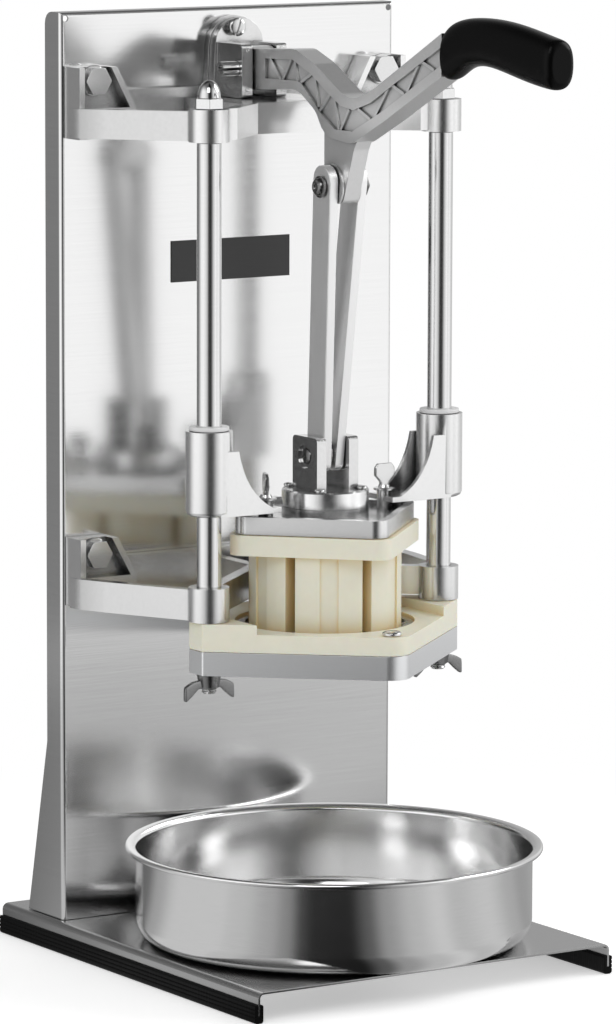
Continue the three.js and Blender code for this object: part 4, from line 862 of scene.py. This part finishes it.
# %% Thumb screws
SPADE_TALL = 17.2
STOPPED_AT = {"left": 65, "right": 0}
tall = length_of("thumb_screw_left", FROM_BELOW)
seat = tall - SPADE_TALL
spade = paddle("spade", (0, 0, seat + 3.2), (6.4, 3.4, 4.0), (0, 0, 1), [
    ((0, 0, 4.4), (2.3, 1, 1)),
    ((0, 0, 5.0), (1, 0.9, 1)),
    ((0, 0, 3.0), (0.72, 0.85, 1)),
])
body = [(0.0, 0.0), (2.3, 0.0)] + threads(3.0, 0.5, seat - 1.5, 1.0, 0.35)
body += [(3.0, seat - 1.2), (3.0, seat), (6.9, seat), (7.2, seat + 0.3), (7.2, seat + 1.1),
         (6.9, seat + 1.4), (4.2, seat + 1.7), (3.4, seat + 3.6), (0.0, seat + 4.0)]
first_screw = join("thumb_screw", [spade, lathe("body", body, 40)])
for side in SIDES:
    node = "thumb_screw_" + side
    thumb_screw = stand(twin_of(first_screw), "turned_screw", (0, 0, 0), (0, 0, STOPPED_AT[side]))
    put(thumb_screw, node, "_cast", FROM_BELOW)
    complete(thumb_screw, node, bolt_zinc, 40)
scrap(first_screw)
print("thumb screws:", len(SIDES))

# %% [markdown]
# ## Catch pan
# The pan is spun from one disc of sheet: flat floor with a shallow raised ring, a generous
# round into the wall, and a rim that turns out and rolls over into a bead. The outline goes
# once round the sheet, outside and back inside, so that the wall has its real thickness. A
# Solidify modifier would give an even wall too, but it couldn't roll the bead.

# %% Catch pan
SHEET = 1.0
ROUND = 14.0
ROUND_CENTRE = (115.8, 14.5)
outside = [(0.0, 0.0), (96.0, 0.0), (98.0, 0.5)]
outside += oval(ROUND_CENTRE, ROUND, ROUND, -90, 0, 8)
outside += [(129.8, 58.6), (130.2, 59.9), (131.4, 60.5)]
outside += oval((134.9, 61.4), 1.7, 1.8, -90, 90, 10)
inside = [(0.0, SHEET), (95.5, SHEET), (97.6, SHEET + 0.5)]
inside += oval(ROUND_CENTRE, ROUND - SHEET, ROUND - SHEET, -90, 0, 8)
inside += [(128.8, 59.2), (129.4, 61.0), (130.8, 62.3), (132.6, 62.9)]
pan = put(lathe("catch_pan", outside + inside[::-1], 128), "catch_pan", "_spun", FROM_BELOW)
complete(pan, "catch_pan", pan_sheet, 30)
print("catch pan:", len(pan.data.polygons), "faces")

# %% [markdown]
# ## Grip
# The grip is a moulded rubber sleeve with a hump for the palm and a blunt round end. One
# ring is extruded along the lever station by station, each ring moved and resized to the
# height and width there. The ring is an oval with flattened sides, which a power just under
# one gives. A cylinder along a curve would be simpler, but it would keep one thickness.

# %% Grip
RING = 16
FLATTEN = 0.8
STATIONS = [
    # share of the length, top and bottom of the grip in millimetres, half its width
    (0.0, 619.0, 589.0, 9.6), (0.01, 620.4, 588.2, 10.8), (0.05, 625.2, 588.8, 11.1),
    (0.16, 628.6, 597.2, 11.1), (0.33, 629.8, 600.0, 10.9), (0.52, 629.0, 596.6, 11.1),
    (0.72, 625.8, 591.8, 11.1), (0.9, 621.8, 589.0, 11.2), (0.965, 620.6, 588.6, 11.2),
    (0.985, 619.4, 589.6, 10.4), (1.0, 615.6, 593.4, 7.4),
]
front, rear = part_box("grip")[0][1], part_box("grip")[1][1]
grip_x = centre_of("grip").x


def flattened(part):
    return math.copysign(abs(part) ** FLATTEN, part)


bpy.ops.object.select_all(action="DESELECT")
bpy.ops.mesh.primitive_circle_add(vertices=RING, radius=1, fill_type="NOTHING")
grip = settle(bpy.context.active_object, "grip_moulded")
ring = list(range(RING))
for share, top, bottom, half in STATIONS:
    if share > 0:
        choose(grip, "VERT", lambda v: v.index in ring)
        bpy.ops.mesh.extrude_region_move(TRANSFORM_OT_translate={"value": (0, -MM, 0)})
        bpy.ops.object.mode_set(mode="OBJECT")
        ring = [v.index for v in grip.data.vertices if v.select]
    for index in ring:
        angle = math.tau * (index % RING) / RING
        across = half * flattened(math.cos(angle))
        up = (top + bottom) / 2 + (top - bottom) / 2 * flattened(math.sin(angle))
        grip.data.vertices[index].co = (grip_x + across * MM, rear - share * (rear - front), up * MM)
for end in (list(range(RING)), ring):
    choose(grip, "VERT", lambda v: v.index in end)
    bpy.ops.mesh.edge_face_add()
    bpy.ops.mesh.inset(thickness=1.2 * MM)
    bpy.ops.object.mode_set(mode="OBJECT")

# %% [markdown]
# ## The grip's skin
# Moulded rubber has one unbroken skin, so the cage of rings gets a subdivision surface. Its
# normals are made consistent first, because faces extruded from an open ring, and the two
# end faces, may point inwards.

# %% Grip skin
edit_all(grip)
bpy.ops.mesh.normals_make_consistent(inside=False)
bpy.ops.object.mode_set(mode="OBJECT")
skin = grip.modifiers.new("skin", "SUBSURF")
skin.levels = skin.render_levels = 3
pick(grip)
bpy.ops.object.modifier_apply(modifier=skin.name)
complete(grip, "grip", rubber, 60)
print("grip:", len(grip.data.polygons), "faces")

# %% [markdown]
# ## Link bolt
# The links hang on a bolt whose low rounded head has a turned collar and a centre dimple. It
# is spun in one outline and laid on its side. Heights in the head are measured from how far
# the bolt reaches. A cylinder with a ball on it would lose the collar and the dimple.

# %% Link bolt
reach = length_of("link_bolt", FROM_RIGHT)
link_outline = [
    (0.0, 0.0), (4.0, 0.0), (4.0, reach - 3.4), (6.8, reach - 3.4), (7.1, reach - 3.1),
    (7.1, reach - 2.3), (6.7, reach - 2.0), (5.9, reach - 1.9), (5.7, reach - 1.2),
    (5.0, reach + 0.1), (4.0, reach + 0.8), (2.9, reach + 0.9), (2.3, reach + 0.5),
    (1.9, reach - 0.4), (0.0, reach - 0.6),
]
link_bolt = put(lathe("link_bolt", link_outline, 40), "link_bolt", "_turned", FROM_RIGHT)
complete(link_bolt, "link_bolt", dark_bolt)
print("link bolt reach in mm:", round(reach, 1))

# %% [markdown]
# ## Clevis pin
# The lower pin of the links is a rivet: a plain shank with a low snap head outside each ear
# of the clevis. One outline runs from head to head and is spun, then laid across the ears.
# Both heads come from one short list, read forwards and then backwards.

# %% Clevis pin
reach = length_of("clevis_pin", FROM_RIGHT)
snap_head = [(0.0, -0.3), (2.6, -0.2), (4.4, 0.3), (4.9, 0.9), (5.0, 1.6)]
pin_outline = snap_head + [(radius, reach - z) for radius, z in reversed(snap_head)]
clevis_pin = put(lathe("clevis_pin", pin_outline, 40), "clevis_pin", "_riveted", FROM_RIGHT)
complete(clevis_pin, "clevis_pin", dark_bolt)
print("clevis pin reach in mm:", round(reach, 1))

# %% [markdown]
# ## Bare plate
# The panel carries a dark plate, which is left bare here. It is a thin block whose front face
# is inset twice, the second time sunk a little, so that a fine raised border runs round it.
# It has no solid of its own, so it rides on the frame.

# %% Bare plate
PLATE_SIZE = Vector((92.6, 0.9, 27.5))
PLATE_MIDDLE = 454.25
axis_x = centre_of("clevis_pin").x
panel_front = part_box("back_panel")[0][1]
bpy.ops.object.select_all(action="DESELECT")
bpy.ops.mesh.primitive_cube_add(
    size=1, scale=PLATE_SIZE * MM,
    location=(axis_x + 0.7 * MM, panel_front - 0.35 * MM, PLATE_MIDDLE * MM))
plate = settle(bpy.context.active_object, "bare_plate")
choose(plate, "FACE", lambda face: face.normal.y < -0.9)
bpy.ops.mesh.inset(thickness=0.9 * MM)
bpy.ops.mesh.inset(thickness=0.25 * MM, depth=-0.15 * MM)
bpy.ops.object.mode_set(mode="OBJECT")
bevel(plate, 0.15 * MM)
smooth(plate)
paint(plate, plate_paint)
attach(plate, "frame")
print("bare plate:", [round(v, 4) for v in plate.dimensions])

# %% [markdown]
# ## Ejector marks
# The pins that push a casting out of its die leave small round marks, here two on the front
# of each ear of the hinge. Each is a low spun disc with a raised rim. Cutting them into the
# casting would be truer, but such shallow cuts would break up its smooth faces.

# %% Ejector marks
MARK_HEIGHTS = (595.5, 569.5)
EAR_MIDDLE = 13.4
ear_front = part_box("hinge_bracket")[0][1]
mark_outline = [(0.0, 0.0), (1.6, 0.0), (1.6, 0.22), (1.3, 0.3), (1.1, 0.12), (0.0, 0.1)]
first_mark = lathe("mark", mark_outline, 24)
marks = []
for across in (-EAR_MIDDLE, EAR_MIDDLE):
    for height_of_mark in MARK_HEIGHTS:
        place = (axis_x + across * MM, ear_front + 0.05 * MM, height_of_mark * MM)
        marks.append(stand(twin_of(first_mark), "mark_copy", place, (90, 0, 0)))
scrap(first_mark)
ear_marks = join("ear_marks", marks)
smooth(ear_marks)
paint(ear_marks, cast_metal)
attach(ear_marks, "frame")
print("ejector marks:", len(marks))

# %% [markdown]
# ## Floor
# The floor is a small white disc. It is kept small so that the upright metal reflects the
# room and not a floor. It belongs to the stage, so it is hung on no body of the machine.

# %% Floor
bpy.ops.object.select_all(action="DESELECT")
bpy.ops.mesh.primitive_circle_add(vertices=96, radius=1.5, fill_type="NGON", location=(0, 0, 0))
floor = bpy.context.active_object
floor.name = "studio_floor"
print("floor across in metres:", round(floor.dimensions.x, 2))

# %% [markdown]
# ## Floor paint
# Near the stand the floor takes the soft shadow that makes the base stand on something, and
# a faint glow for the camera only keeps it pale. Further out it fades into the white behind
# it, so that no edge shows. Metal sees the cloths laid on it, a little turned, because a
# mirror that met plain white down there would lose its dark stripes.

# %% Floor paint
def glow(tree, strength):
    light = tree.nodes.new("ShaderNodeEmission")
    light.inputs["Strength"].default_value = strength
    return light


floor_paint = bpy.data.materials.new("white_sweep")
floor_paint.use_nodes = True
tree = floor_paint.node_tree
dull_white = tree.nodes["Principled BSDF"]
dull_white.inputs["Base Color"].default_value = (0.86, 0.86, 0.86, 1)
dull_white.inputs["Roughness"].default_value = 0.9
ray = tree.nodes.new("ShaderNodeLightPath")
spot = tree.nodes.new("ShaderNodeTexCoord")
distance = tree.nodes.new("ShaderNodeVectorMath")
distance.operation = "LENGTH"
near = tree.nodes.new("ShaderNodeAddShader")
laid_cloths = glow(tree, 1.0)
pale = mix_shaders(tree, ray.outputs["Is Camera Ray"], glow(tree, 0.0).outputs[0],
                   glow(tree, 0.42).outputs[0])
tree.links.new(spot.outputs["Object"], distance.inputs[0])
tree.links.new(dull_white.outputs[0], near.inputs[0])
tree.links.new(pale, near.inputs[1])
fade = smooth_range(tree, distance.outputs["Value"], low=0.3, high=0.75, at_low=0.0, at_high=1.0)
plain = mix_shaders(tree, fade, near.outputs[0], glow(tree, 1.0).outputs[0])
dimmer = smooth_range(tree, distance.outputs["Value"], low=0.9, high=1.6, at_low=0.6, at_high=1.1)
tree.links.new(dimmer, laid_cloths.inputs["Strength"])
tree.links.new(cloth_bands(tree, spot.outputs["Object"], shift=0.035), laid_cloths.inputs["Color"])
seen = mix_shaders(tree, ray.outputs["Is Glossy Ray"], plain, laid_cloths.outputs[0])
tree.links.new(seen, tree.nodes["Material Output"].inputs[0])
paint(floor, floor_paint)
print("floor paint nodes:", len(tree.nodes))

# %% [markdown]
# ## Colours
# The picture keeps its colours as written.

# %% Finish
import json

bpy.context.scene.view_settings.view_transform = "Standard"
bpy.context.view_layer.update()
